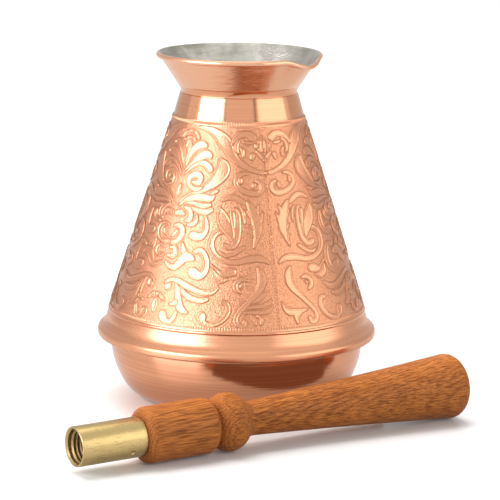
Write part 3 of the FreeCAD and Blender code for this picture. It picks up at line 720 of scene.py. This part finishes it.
def stroke_run(stroke, count=12):
    """Evenly parted points of a Catmull-Rom curve through a stroke's points."""
    points = np.array(stroke, float)
    padded = np.vstack([2 * points[0] - points[1], points, 2 * points[-1] - points[-2]])
    share = np.linspace(0, 1, count, endpoint=False)[:, None]
    run = []
    for before, here, there, after in zip(padded, padded[1:], padded[2:], padded[3:]):
        run.append(0.5 * (2 * here + (there - before) * share
                          + (2 * before - 5 * here + 4 * there - after) * share ** 2
                          + (3 * here - before - 3 * there + after) * share ** 3))
    return np.vstack(run + [points[-1:]])


class Ornament:
    """Height and edge lines, 0 to 1, of the relief over one half repeat, kept on a fine grid.

    Steps and widths are in degrees and mm: a stroke has a ridge along its edge, a flat inside it
    at the share INNER of the ridge's height, and a groove outside it.
    """

    DEGREE_STEP = 0.12
    HEIGHT_STEP = 0.12
    EDGE = 0.3
    RIDGE = 0.23
    GROOVE = 0.17
    INNER = 0.42
    MARGIN = 1.5
    MARGIN_TURN = 1.2

    def __init__(self, leaves):
        self.low = sizes().low_border / MM
        self.degrees = np.arange(0, HALF_REPEAT + self.DEGREE_STEP, self.DEGREE_STEP)
        self.heights = np.arange(self.low, CONE_BOX[1][2] / MM, self.HEIGHT_STEP)
        self.raised = np.zeros((len(self.heights), len(self.degrees)))
        self.lines = np.zeros_like(self.raised)
        for group in [*leaves, *((stroke,) for stroke in STROKES), *TOOTHED]:
            run = np.vstack([stroke_run(stroke) for stroke in group])
            across = run * (-1, 1, 1)
            for mirrored in (run, across, across + (2 * HALF_REPEAT, 0, 0)):
                self.press(mirrored)

    def near(self, axis, values, margin):
        return np.flatnonzero((axis > values.min() - margin) & (axis < values.max() + margin))

    def press(self, run):
        """Raise one stroke over what lies under it, with a furrow round it."""
        turns, heights, halves = run.T
        margin = halves.max() + self.MARGIN
        radius = cone_radius(heights.max() * MM) / MM
        rows = self.near(self.heights, heights, margin)
        columns = self.near(self.degrees, turns, math.degrees(margin / radius) * self.MARGIN_TURN)
        if not len(rows) or not len(columns):
            return
        window = np.ix_(rows, columns)
        around = np.radians(self.degrees[columns])[None, :, None] - np.radians(turns)
        radii = np.array([cone_radius(height * MM) / MM for height in self.heights[rows]])
        aside = around * radii[:, None, None]
        above = (self.heights[rows][:, None, None] - heights) * across_wall()
        outside = (np.sqrt(aside ** 2 + above ** 2) - halves).min(axis=2)
        clear = smooth(outside / self.EDGE)
        inner = smooth(-outside / self.EDGE) * self.INNER
        ridge = np.exp(-((outside + self.RIDGE) / self.RIDGE) ** 2)
        groove = np.exp(-((outside - 0.5 * self.GROOVE) / self.GROOVE) ** 2)
        self.raised[window] = np.maximum(self.raised[window] * clear, np.maximum(inner, ridge))
        self.lines[window] = np.maximum(self.lines[window] * clear, groove)

    def at(self, grid, degrees, heights):
        """A grid's value at points given by degrees from the seam and heights in mm."""
        folded = np.mod(degrees, 2 * HALF_REPEAT)
        folded = np.minimum(folded, 2 * HALF_REPEAT - folded)
        column = np.clip(folded / self.DEGREE_STEP, 0, len(self.degrees) - 1.001)
        row = np.clip((heights - self.low) / self.HEIGHT_STEP, 0, len(self.heights) - 1.001)
        c, r = column.astype(int), row.astype(int)
        fc, fr = column - c, row - r
        return ((grid[r, c] * (1 - fc) + grid[r, c + 1] * fc) * (1 - fr)
                + (grid[r + 1, c] * (1 - fc) + grid[r + 1, c + 1] * fc) * fr)


# Operators

class POT_OT_bowl(bpy.types.Operator):
    """Spun base bowl with its flange, copper outside and tinned inside"""
    bl_idname = "pot.bowl"
    bl_label = "Bowl"

    def execute(self, context):
        pot = sizes()
        span = pot.bowl_radius - pot.foot_radius
        side = ((span ** 2 + pot.bowl_depth ** 2 - 2 * pot.bowl_depth * pot.corner_radius)
                / (2 * (span - pot.corner_radius)))
        lean = math.degrees(math.asin((pot.bowl_depth - pot.corner_radius) / (side - pot.corner_radius)))
        corner = (pot.foot_radius, pot.corner_radius)
        middle = (pot.bowl_radius - side, pot.bowl_depth)
        top = BOWL_BOX[1][2]
        edge = BOWL_BOX[1][0]
        profile = [(0, 0)]
        profile += arc(corner, pot.corner_radius, -90, -lean, 14)
        profile += arc(middle, side, -lean, 0, 14)[1:]
        profile += [(pot.bowl_radius, top - pot.sheet), (edge, top - pot.sheet), (edge, top),
                    (pot.bowl_radius - pot.sheet, top)]
        profile += arc(middle, side - pot.sheet, 0, -lean, 12)
        profile += arc(corner, pot.corner_radius - pot.sheet, -lean, -90, 10)[1:]
        profile += [(0, pot.sheet)]
        piece = turned("bowl_spun", profile, 192, UPRIGHT)
        metal = copper_material("brushed_copper", roughness=0.12, scoring=0.42)
        dress(piece, "pot", "copper", (metal, tin_material()), "bowl")
        line_inside(piece, lambda centre, normal: centre.z > 0.5 * pot.sheet and (
            faces_axis(centre, normal) or normal.z > 0.5))
        return {"FINISHED"}


class POT_OT_cone(bpy.types.Operator):
    """Cone with its lower border ring, its cove and the edge folded under the bowl's flange"""
    bl_idname = "pot.cone"
    bl_label = "Cone"

    BED = 0.15 * MM
    FOLD = 2.25 * MM
    HEM_EDGE = 0.8 * MM
    SHOULDER = 1.6 * MM
    SHOULDER_DROP = 0.06 * MM
    SHOULDER_END = (0.75 * MM, 1.3 * MM)
    COVE = 5.0 * MM
    COVE_MIDDLE = (46.99 * MM, 27.35 * MM)
    RING = 0.66 * MM
    RING_SUNK = 0.32 * MM

    def execute(self, context):
        pot = sizes()
        top = CONE_BOX[1][2]
        edge = CONE_BOX[1][0]
        hem_low = CONE_BOX[0][2]
        flange = BOWL_BOX[1][2] + pot.gap
        inner = pot.sheet * across_wall()
        hem_top = BOWL_BOX[1][2] - pot.sheet - pot.gap
        hem_inner = BOWL_BOX[1][0] + pot.gap
        fold = hem_inner - self.FOLD
        shoulder = (edge - self.SHOULDER_END[0], flange + self.SHOULDER_END[1])
        profile = [(pot.cone_top_radius - inner, top), (pot.cone_low_radius - inner, pot.cone_low),
                   (shoulder[0] - pot.sheet, shoulder[1] - pot.sheet), (hem_inner, flange),
                   (hem_inner, hem_top), (fold, hem_top), (fold, hem_low)]
        profile += arc((edge - self.HEM_EDGE, hem_low + self.HEM_EDGE), self.HEM_EDGE, -90, 0, 6)
        profile += arc((edge - self.SHOULDER, flange - self.SHOULDER_DROP), self.SHOULDER, 2, 58, 7)
        profile += arc(self.COVE_MIDDLE, self.COVE, 236, 188.7, 9)
        profile += [(cone_radius(height) - self.BED, height) for height in (pot.low_border, top - pot.border)]
        profile += [(pot.cone_top_radius, top)]
        piece = turned("cone_shell", profile, 240, UPRIGHT)
        metal = copper_material("hem_copper", roughness=0.26, scoring=0.4)
        dress(piece, "pot", "copper", (metal, tin_material()), "cone_wall")
        line_inside(piece, faces_axis)
        middle = pot.low_border + pot.border / 2
        ring = turned("border_low", arc((cone_radius(middle) - self.RING_SUNK, middle), self.RING, -110, 110, 10),
                      240, UPRIGHT)
        dress(ring, "pot", "copper", (copper_material("border_copper", roughness=0.16, scoring=0.2),))
        return {"FINISHED"}


class POT_OT_ornament(bpy.types.Operator):
    """Embossed scroll ornament in six panels that meet at its lines of symmetry"""
    bl_idname = "pot.ornament"
    bl_label = "Ornament"

    LOW_LAP = 0.3 * MM
    TOP_GAP = 0.05 * MM
    COARSE_CUTS = 9
    FINE_CUTS = 29
    COLUMNS = 190
    WEIGHT_STEPS = 600
    GROUND = 0.25
    LAP_RISE = 0.2

    # in mm: bands along the borders and a disc round the stud stay plain
    LOW_BAND = 2.2
    TOP_BAND = 1.5
    BAND_FADE = 0.6
    STUD_DISC = 7.2
    DISC_FADE = 1.2
    # in mm: milled rows, side seam with its lap, and the stitches beside it
    LOW_TICKS = (2.0, 300)
    TOP_TICKS = (0.8, 160)
    TICK_HALF = 0.55
    SEAM_HALF = 0.28
    LAP = 2.5
    STITCH_PLACE = 0.75
    STITCH_HALF = 0.5
    STITCH_WAVE = 7.0

    def execute(self, context):
        pot = sizes()
        halves = (Ornament(FAN), Ornament(WING))
        metal = relief_material()
        low = pot.low_border + self.LOW_LAP
        high = CONE_BOX[1][2] - self.TOP_GAP
        panel = math.radians(HALF_REPEAT)
        for number in range(round(FULL_TURN / panel)):
            turn = Matrix.Rotation(pot.seam_turn + number * panel, 3, "Z")
            ends = [turn @ Vector((cone_radius(height), 0, height)) for height in (low, high)]
            piece = draw_profile("ornament_%d" % (number + 1), ends)
            for cuts in (self.COARSE_CUTS, self.FINE_CUTS):
                bpy.ops.mesh.select_all(action="SELECT")
                bpy.ops.mesh.subdivide(number_cuts=cuts)
            bpy.ops.mesh.select_all(action="SELECT")
            bpy.ops.mesh.spin(steps=self.COLUMNS, angle=panel, center=(0, 0, 0), axis=UPRIGHT)
            close_mesh(80.0)
            self.face_outward(piece)
            self.emboss(piece, halves[number % 2])
            dress(piece, "pot", "copper", (metal,))
        return {"FINISHED"}

    def emboss(self, piece, ornament):
        pot = sizes()
        points = coordinates(piece)
        degrees = np.degrees(np.arctan2(points[:, 1], points[:, 0]) - pot.seam_turn)
        heights = points[:, 2] / MM
        low, high = pot.low_border / MM, CONE_BOX[1][2] / MM
        from_stud = np.linalg.norm(points - np.array(stud_matrix().to_translation()), axis=1) / MM
        fade = (smooth((heights - low - self.LOW_BAND) / self.BAND_FADE)
                * smooth((high - self.TOP_BAND - heights) / self.BAND_FADE)
                * smooth((from_stud - self.STUD_DISC) / self.DISC_FADE))
        raised = ornament.at(ornament.raised, degrees, heights) * fade
        # Grooves round the strokes: sunk in the mesh, and painted with shade by the material.
        groove_shade = ornament.at(ornament.lines, degrees, heights) * fade
        # Milled rows: raised ticks, with painted shade in the nicks between them.
        for height, count in ((low + self.LOW_TICKS[0], self.LOW_TICKS[1]),
                              (high - self.TOP_TICKS[0], self.TOP_TICKS[1])):
            row = smooth(1 - np.abs(heights - height) / self.TICK_HALF)
            wave = np.cos(np.radians(degrees * count))
            raised = np.maximum(raised, row * (0.35 + 0.35 * wave))
            groove_shade = np.maximum(groove_shade, row * (0.6 - 0.4 * wave))
        turn = np.radians(np.mod(degrees + 180, 360) - 180)
        from_seam = turn * np.hypot(points[:, 0], points[:, 1]) / MM
        seam = smooth(1 - np.abs(from_seam) / self.SEAM_HALF) * fade
        lap = np.where(from_seam > 0, np.exp(-from_seam / self.LAP), 0) * fade
        stitches = (smooth(1 - np.abs(from_seam + self.STITCH_PLACE) / self.STITCH_HALF)
                    * (0.5 + 0.5 * np.cos(heights * self.STITCH_WAVE)) * fade)
        sunk = np.maximum(np.maximum(groove_shade, seam), stitches * 0.8)
        level = (self.GROUND + (1 - self.GROUND) * raised - self.GROUND * sunk * (1 - raised)
                 + self.LAP_RISE * lap)
        paint(piece, "ground", (1 - smooth(raised / 0.5)) * fade)
        # For the material: painted shade in the grooves and nicks, and a darker line along the seam and its
        # stitches.
        paint(piece, "groove_shade", np.maximum(np.maximum(groove_shade, seam * 0.8), stitches * 0.6))
        self.raise_by(piece, level)

    def raise_by(self, piece, level):
        """Displace a panel outward by level, a share of the relief's height for each of its points."""
        group = piece.vertex_groups.new(name="relief")
        steps = np.rint(level * self.WEIGHT_STEPS).astype(int)
        for step in np.unique(steps):
            group.add(np.flatnonzero(steps == step).tolist(), step / self.WEIGHT_STEPS, "REPLACE")
        displace = piece.modifiers.new("emboss", "DISPLACE")
        displace.vertex_group = group.name
        displace.strength = sizes().relief
        displace.mid_level = 0.0
        bpy.ops.object.modifier_apply(modifier=displace.name)

    def face_outward(self, piece):
        face = piece.data.polygons[0]
        if faces_axis(face.center, face.normal, 0.0):
            piece.data.flip_normals()


class POT_OT_mouth(bpy.types.Operator):
    """Neck and flared mouth with a hemmed rim and a pouring lip"""
    bl_idname = "pot.mouth"
    bl_label = "Mouth"

    # (radius, height) in mm up the waist, with the groove under the flare
    WAIST = ((19.23, 97.6), (19.0, 98.35), (18.84, 98.85), (18.56, 99.0), (18.52, 99.25),
             (18.64, 99.7), (18.87, 100.25))
    WAIST_LIFT = 0.15 * MM
    JOGGLE = (19.35 * MM, 94.05 * MM)
    RIM_END = 119.5
    RIM_TIN = 0.2

    def execute(self, context):
        pot = sizes()
        joint = CONE_BOX[1][2] + pot.gap
        skirt_low = MOUTH_BOX[0][2]
        thick = pot.sheet * across_wall()
        skirt = thick + pot.gap * across_wall()
        reach = pot.rim_radius - pot.flare_radius
        rise = pot.rim_height - pot.flare_height
        flare = math.hypot(reach, rise)
        inward = (-rise / flare * pot.sheet, reach / flare * pot.sheet)
        steep = math.degrees(math.atan2(rise, reach))
        waist = [(r * MM, z * MM) for r, z in self.WAIST]
        outer_flare = [(pot.flare_radius + reach * s, pot.flare_height + rise * s)
                       for s in np.linspace(0, 0.9, 12)]
        profile = [(cone_radius(skirt_low) - skirt, skirt_low), (cone_radius(joint) - skirt, joint),
                   (pot.cone_top_radius, joint)]
        profile += waist + outer_flare
        profile += arc((pot.rim_radius, pot.rim_height), pot.rim_bead, steep - 180, self.RIM_END, 20)
        profile += [(r + inward[0], z + inward[1]) for r, z in reversed(outer_flare)]
        profile += [(r - pot.sheet, z + self.WAIST_LIFT) for r, z in reversed(waist)]
        profile += [self.JOGGLE, (cone_radius(joint) - skirt - thick, joint),
                    (cone_radius(skirt_low) - skirt - thick, skirt_low)]
        piece = turned("mouth_flared", profile, 288, UPRIGHT)
        metal = copper_material("polished_copper", roughness=0.1, scoring=0.2, beaten=pot.flare_height)
        dress(piece, "pot", "copper", (metal, tin_material()), "mouth_neck")
        line_inside(piece, lambda centre, normal: faces_axis(centre, normal)
                    or centre.z > pot.rim_height and faces_axis(centre, normal, self.RIM_TIN))
        self.pull_lip(piece)
        return {"FINISHED"}

    def pull_lip(self, piece):
        pot = sizes()
        points = coordinates(piece)
        turn = np.arctan2(points[:, 1], points[:, 0])
        aside = np.clip(np.abs(np.angle(np.exp(1j * (turn - pot.spout_turn)))) / pot.spout_half, 0, 1)
        share = np.clip((points[:, 2] - pot.flare_height) / (pot.rim_height - pot.flare_height), 0, 1)
        pull = share * (1 - aside ** 2) ** 2
        radius = np.hypot(points[:, 0], points[:, 1])
        points[:, :2] *= (1 + pull * pot.spout_reach / radius)[:, None]
        points[:, 2] -= pull * pot.spout_dip
        set_coordinates(piece, points)


class POT_OT_fittings(bpy.types.Operator):
    """Riveted screw stud, its washers and the tin fillet of the seam"""
    bl_idname = "pot.fittings"
    bl_label = "Stud and washers"

    EDGE = 0.25 * MM
    POINT = 0.35 * MM
    CORE_PLAY = 0.02 * MM
    THREAD_START = 0.2 * MM
    THREAD_PLAY = 0.06 * MM

    def execute(self, context):
        screw = stud()
        grip = handle()
        start = screw.collar_face + screw.collar
        end = start + screw.thread
        chamfer = grip.thread_major - grip.thread_minor
        dome, half = bow(screw.head_radius, screw.head)
        corner = screw.collar_radius - self.EDGE
        profile = arc((-screw.head_face - screw.head + dome, 0), dome, 180, 180 - half, 10)
        profile += [(-screw.head_face, screw.rivet_radius), (screw.collar_face, screw.rivet_radius)]
        profile += arc((screw.collar_face + self.EDGE, corner), self.EDGE, 180, 90, 4)
        profile += arc((start - self.EDGE, corner), self.EDGE, 90, 0, 4)
        profile += [(start, grip.thread_minor), (end - chamfer, grip.thread_minor + self.CORE_PLAY),
                    (end, grip.thread_minor - self.POINT), (end, 0)]
        piece = turned("stud_turned", profile, 64, ALONG)
        turns = int(screw.thread / grip.thread_pitch) - 1
        join(piece, threaded("stud_thread", start + self.THREAD_START, turns,
                             grip.thread_major - self.THREAD_PLAY, grip.thread_minor, grip.thread_pitch))
        place = stud_matrix()
        put(piece, place)
        metal = brass_material("stud_brass", turn_and_origin(place))
        dress(piece, "pot", "brass", (metal,), "handle_stud")
        self.coat("saddle_washer", metal)
        self.coat("inner_washer", metal)
        self.coat("base_seam_solder", tin_material())
        return {"FINISHED"}

    def coat(self, name, material):
        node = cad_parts[name]
        node.data.materials.clear()
        node.data.materials.append(material)


class POT_OT_grip(bpy.types.Operator):
    """Turned wooden grip with barrel, bead, taper and rounded butt"""
    bl_idname = "pot.grip"
    bl_label = "Grip"

    PITH = (0, 41 * MM, 15 * MM)
    SLANT = math.radians(5)
    TANG_START = 13.8 * MM
    TANG = 4.95 * MM
    SHOULDER_GAP = 0.05 * MM
    FRONT = 2.6 * MM
    BACK = 2.1 * MM
    GROOVE = 0.45 * MM
    COVE_SAG = 0.35 * MM
    TAPER_SAG = 0.24 * MM
    BUTT_CORNER = 4.0 * MM
    BUTT_SHIFT = 0.05 * MM
    BUTT_FLAT = 6.2 * MM
    BUTT_DOME = 24.0 * MM

    def execute(self, context):
        grip = handle()
        shoulder = grip.ferrule_length + self.SHOULDER_GAP
        bead, half = bow(grip.bead_half, grip.bead_radius - grip.groove_radius)
        profile = [(self.TANG_START, 0), (self.TANG_START, self.TANG), (shoulder, self.TANG)]
        profile += arc((shoulder + self.FRONT, grip.barrel_radius - self.FRONT), self.FRONT, 180, 90, 10)
        profile += arc((grip.barrel_end - self.BACK, grip.barrel_radius - self.BACK), self.BACK, 90, 0, 8)
        profile += arc((grip.barrel_end + self.GROOVE, grip.groove_radius + self.GROOVE), self.GROOVE, 180, 360, 6)
        profile += arc((grip.bead_middle, grip.bead_radius - bead), bead, 90 + half, 90 - half, 18)
        profile += self.hollow((grip.bead_middle + grip.bead_half, grip.groove_radius),
                               (grip.taper_start, grip.taper_thin), self.COVE_SAG, np.linspace(0.15, 0.9, 6))
        profile += self.hollow((grip.taper_start, grip.taper_thin),
                               (grip.taper_end, grip.taper_thick), self.TAPER_SAG, np.linspace(0, 1, 26))
        profile += self.butt()
        piece = turned("grip_turned", profile, 96, ALONG)
        place = handle_matrix()
        put(piece, place)
        pith = tuple(place @ Vector(self.PITH))
        dress(piece, "handle", "wood", (wood_material(turn_and_origin(place), pith, self.SLANT),), "grip")
        return {"FINISHED"}

    def hollow(self, first, last, sag, shares):
        """Points of a line between two others that sags towards the axis, at these shares of its run."""
        return [(first[0] + (last[0] - first[0]) * s,
                 first[1] + (last[1] - first[1]) * s - sag * 4 * s * (1 - s)) for s in shares]

    def butt(self):
        grip = handle()
        half = math.degrees(math.asin(self.BUTT_FLAT / self.BUTT_DOME))
        corner = (grip.taper_end - self.BUTT_SHIFT, grip.taper_thick - self.BUTT_CORNER)
        return (arc(corner, self.BUTT_CORNER, 86, 6, 10)
                + arc((grip.grip_length - self.BUTT_DOME, 0), self.BUTT_DOME, half, 0, 8))


class POT_OT_ferrule(bpy.types.Operator):
    """Brass ferrule with a cut thread in its mouth, and its pin"""
    bl_idname = "pot.ferrule"
    bl_label = "Ferrule"

    EDGE = 0.3 * MM
    BORE_PLAY = 0.04 * MM
    LEAD_IN = 0.6 * MM
    LEAD_IN_RISE = 0.4 * MM
    CREST = 0.2 * MM
    PIN_PLAY = 0.03 * MM
    PIN_FIELD = 1.2 * MM
    PUNCH = 0.4 * MM

    def execute(self, context):
        grip = handle()
        outer = grip.ferrule_radius
        bore = grip.thread_major + self.BORE_PLAY
        profile = arc((self.EDGE, outer - self.EDGE), self.EDGE, 180, 90, 4)
        profile += [(grip.pin_distance + side * self.PIN_FIELD, outer) for side in (-1, 1)]
        profile += arc((grip.ferrule_length - self.EDGE, outer - self.EDGE), self.EDGE, 90, 0, 4)
        profile += [(grip.ferrule_length, bore), (self.LEAD_IN, bore), (0, bore + self.LEAD_IN_RISE)]
        piece = turned("ferrule_tube", profile, 96, ALONG)
        self.drill(piece)
        turns = int((grip.thread_depth - self.LEAD_IN) / grip.thread_pitch) - 1
        thread = threaded("ferrule_thread", self.LEAD_IN, turns, bore,
                          grip.thread_minor + self.CREST, grip.thread_pitch)
        thread.data.flip_normals()
        join(piece, thread)
        place = handle_matrix()
        put(piece, place)
        metal = brass_material("ferrule_brass", turn_and_origin(place))
        # Darker, rougher brass on the thread inside the bore.
        darker_brass = brass_material("thread_brass", turn_and_origin(place), shade=0.6, roughness=0.5)
        dress(piece, "handle", "brass", (metal, darker_brass), "ferrule")
        home = place.inverted()
        line_inside(piece, lambda centre, normal: (home @ centre).x > self.LEAD_IN
                    and (home @ centre).yz.length < bore)
        self.pin()
        return {"FINISHED"}

    def pin_place(self):
        """From the pin's own axis, X outward, to its place in the handle."""
        grip = handle()
        return (Matrix.Translation((grip.pin_distance, 0, 0))
                @ Matrix.Rotation(grip.pin_turn - math.pi / 2, 4, "X") @ Matrix.Rotation(-math.pi / 2, 4, "Z"))

    def drill(self, piece):
        """Hole for the pin through the ferrule's wall."""
        grip = handle()
        radius = grip.pin_radius + self.PIN_PLAY
        inner, outer = 0.7 * grip.ferrule_radius, 1.2 * grip.ferrule_radius
        cutter = turned("pin_hole", [(inner, 0), (inner, radius), (outer, radius), (outer, 0)], 32, ALONG)
        put(cutter, self.pin_place())
        hole = piece.modifiers.new("pin_hole", "BOOLEAN")
        hole.object = cutter
        pick(piece)
        bpy.ops.object.modifier_apply(modifier=hole.name)
        bpy.data.objects.remove(cutter)
        bpy.ops.object.shade_smooth_by_angle(angle=math.radians(30))

    def pin(self):
        """Pin driven into the ferrule's side, with the hollow of the punch in its end."""
        grip = handle()
        punch, half = bow(grip.pin_radius, self.PUNCH)
        foot = grip.ferrule_radius - grip.pin_length
        end = grip.ferrule_radius + self.PIN_PLAY
        profile = [(foot, 0), (foot, grip.pin_radius)]
        profile += arc((end - self.PUNCH + punch, 0), punch, 180 - half, 180, 6)
        piece = turned("pin_driven", profile, 32, ALONG)
        place = handle_matrix() @ self.pin_place()
        put(piece, place)
        metal = brass_material("pin_brass", turn_and_origin(place), shade=0.8)
        dress(piece, "handle", "brass", (metal,), "ferrule_pin")


class POT_OT_stage(bpy.types.Operator):
    """White table, soft studio light and the camera of the photograph"""
    bl_idname = "pot.stage"
    bl_label = "Stage"

    LENS_PIXELS = 2513.7
    IMAGE_PIXELS = 500
    SENSOR = 36.0
    CAMERA_AT = (4.1 * MM, -796.5 * MM, 204.5 * MM)
    CAMERA_PITCH = 11.16
    CAMERA_ROLL = 0.7
    TABLE = 6.0
    SKY_LIGHT = 0.32
    LAMP_AIM = (0, -0.03, 0.05)
    # name, place, width and power of the lamps
    LAMPS = (("key", (-1.05, -0.45, 0.75), 0.7, 10.0),
             ("fill", (0.7, -0.8, 0.6), 0.6, 3.0),
             ("top", (-0.3, 0.8, 2.0), 1.5, 50.0))
    # name, degrees round the pot from the camera, lower and upper end, width, level and tint
    CARD_DISTANCE = 1.3
    WHITE = (1, 1, 1)
    CARDS = (("left_softbox", -53, 0.1, 1.15, 1.25, 6.6, (0.92, 0.86, 1.0)),
             ("left_edge", -27, 0.0, 1.2, 0.08, 0.2, WHITE),
             ("right_edge", 31, 0.0, 1.2, 0.08, 0.2, WHITE),
             ("right_reflector", 66, 0.1, 1.15, 1.45, 2.1, WHITE),
             ("left_back", -142, 0.0, 1.4, 1.9, 0.72, WHITE),
             ("right_back", 142, 0.0, 1.4, 1.9, 0.7, WHITE))
    OVERHEAD_AT = (-0.2, 0.5, 1.8)
    OVERHEAD_SIZE = (1.2, 1.0, 1, 1)
    OVERHEAD_LEVEL = 2.2
    FLAG_AT = (-12 * MM, -48.9 * MM, 8.0 * MM)
    FLAG_LEAN = -72
    FLAG_SIZE = (76 * MM, 16.2 * MM, 1, 1)
    FLAG_LEVEL = 0.24
    FLAG_TINT = (1, 0.52, 0.33)

    def execute(self, context):
        self.table()
        self.sky()
        for lamp in self.LAMPS:
            self.lamp(*lamp)
        for card in self.CARDS:
            self.card(*card)
        self.mirrored_only("overhead", Matrix.Translation(self.OVERHEAD_AT) @ Matrix.Diagonal(self.OVERHEAD_SIZE),
                           self.OVERHEAD_LEVEL, self.WHITE)
        self.flag()
        self.camera()
        context.scene.view_settings.view_transform = "Standard"
        return {"FINISHED"}

    def table(self):
        bpy.ops.object.select_all(action="DESELECT")
        bpy.ops.mesh.primitive_plane_add(size=self.TABLE, location=(0, 0, 0))
        top = bpy.context.object
        top.name = "table"
        top.data.materials.append(table_material())

    def sky(self):
        """White to the camera, in mirrors and through glass; dimmer as a light."""
        world = bpy.data.worlds.new("studio")
        bpy.context.scene.world = world
        shader = Shader(world, "Background")
        seen = shader.ray("Camera").math("MAXIMUM", shader.ray("Glossy"))
        seen = seen.math("MAXIMUM", shader.ray("Transmission"))
        shader.finish(Color=self.WHITE, Strength=seen * (1 - self.SKY_LIGHT) + self.SKY_LIGHT)

    def lamp(self, name, place, extent, power):
        lamp = bpy.data.lights.new(name, "AREA")
        lamp.size = extent
        lamp.energy = power
        thing = bpy.data.objects.new(name, lamp)
        bpy.context.scene.collection.objects.link(thing)
        aim = Vector(self.LAMP_AIM) - Vector(place)
        thing.matrix_world = Matrix.Translation(place) @ aim.to_track_quat("-Z", "Y").to_matrix().to_4x4()
        thing.visible_camera = False
        thing.visible_glossy = False

    def card(self, name, turn, low, high, width, level, tint):
        """Upright card, turn degrees round the pot from the camera."""
        place = (Matrix.Rotation(math.radians(turn), 4, "Z")
                 @ Matrix.Translation((0, -self.CARD_DISTANCE, (low + high) / 2))
                 @ Matrix.Rotation(math.radians(90), 4, "X") @ Matrix.Diagonal((width, high - low, 1, 1)))
        self.mirrored_only(name, place, level, tint)

    def flag(self):
        """Dark card that leans on the back of the handle, for the shade the bowl mirrors there."""
        place = (Matrix.Rotation(handle().turn, 4, "Z") @ Matrix.Translation(self.FLAG_AT)
                 @ Matrix.Rotation(math.radians(self.FLAG_LEAN), 4, "X") @ Matrix.Diagonal(self.FLAG_SIZE))
        self.mirrored_only("handle_flag", place, self.FLAG_LEVEL, self.FLAG_TINT)

    def mirrored_only(self, name, place, level, tint):
        """Unit plane set at a place, that only reflections see."""
        bpy.ops.object.select_all(action="DESELECT")
        bpy.ops.mesh.primitive_plane_add(size=1.0)
        card = bpy.context.object
        card.name = name
        card.matrix_world = place
        card.data.materials.append(card_material(level, tint))
        card.visible_camera = False
        card.visible_diffuse = False
        card.visible_shadow = False

    def camera(self):
        lens = bpy.data.cameras.new("camera")
        lens.sensor_width = self.SENSOR
        lens.lens = self.LENS_PIXELS * self.SENSOR / self.IMAGE_PIXELS
        lens.clip_start = 0.05
        lens.clip_end = 20.0
        thing = bpy.data.objects.new("camera", lens)
        bpy.context.scene.collection.objects.link(thing)
        thing.matrix_world = (Matrix.Translation(self.CAMERA_AT)
                              @ Matrix.Rotation(math.radians(90 - self.CAMERA_PITCH), 4, "X")
                              @ Matrix.Rotation(math.radians(self.CAMERA_ROLL), 4, "Z"))
        bpy.context.scene.camera = thing


OPERATORS = (POT_OT_bowl, POT_OT_cone, POT_OT_mouth, POT_OT_fittings, POT_OT_grip, POT_OT_ferrule,
             POT_OT_ornament, POT_OT_stage)


class POT_PT_panel(bpy.types.Panel):
    """Buttons that build the pot piece by piece, and its sizes and colours"""
    bl_idname = "POT_PT_panel"
    bl_label = "Coffee pot"
    bl_space_type = "VIEW_3D"
    bl_region_type = "UI"
    bl_category = "Coffee pot"

    def draw(self, context):
        for operator in OPERATORS:
            self.layout.operator(operator.bl_idname)
        for group in (sizes(), handle(), stud(), finishes()):
            box = self.layout.box()
            for name in group.__annotations__:
                box.prop(group, name)


GROUPS = (("pot_sizes", PotSizes), ("handle_sizes", HandleSizes), ("stud_sizes", StudSizes),
          ("pot_finishes", Finishes))


def register():
    for name, group in GROUPS:
        bpy.utils.register_class(group)
        setattr(bpy.types.Scene, name, bpy.props.PointerProperty(type=group))
    for cls in (*OPERATORS, POT_PT_panel):
        bpy.utils.register_class(cls)


def unregister():
    for cls in reversed((*OPERATORS, POT_PT_panel)):
        bpy.utils.unregister_class(cls)
    for name, group in reversed(GROUPS):
        delattr(bpy.types.Scene, name)
        bpy.utils.unregister_class(group)


def main():
    register()
    bpy.ops.pot.bowl()
    bpy.ops.pot.cone()
    bpy.ops.pot.mouth()
    bpy.ops.pot.fittings()
    bpy.ops.pot.grip()
    bpy.ops.pot.ferrule()
    bpy.ops.pot.ornament()
    bpy.ops.pot.stage()


if __name__ == "__main__":
    main()
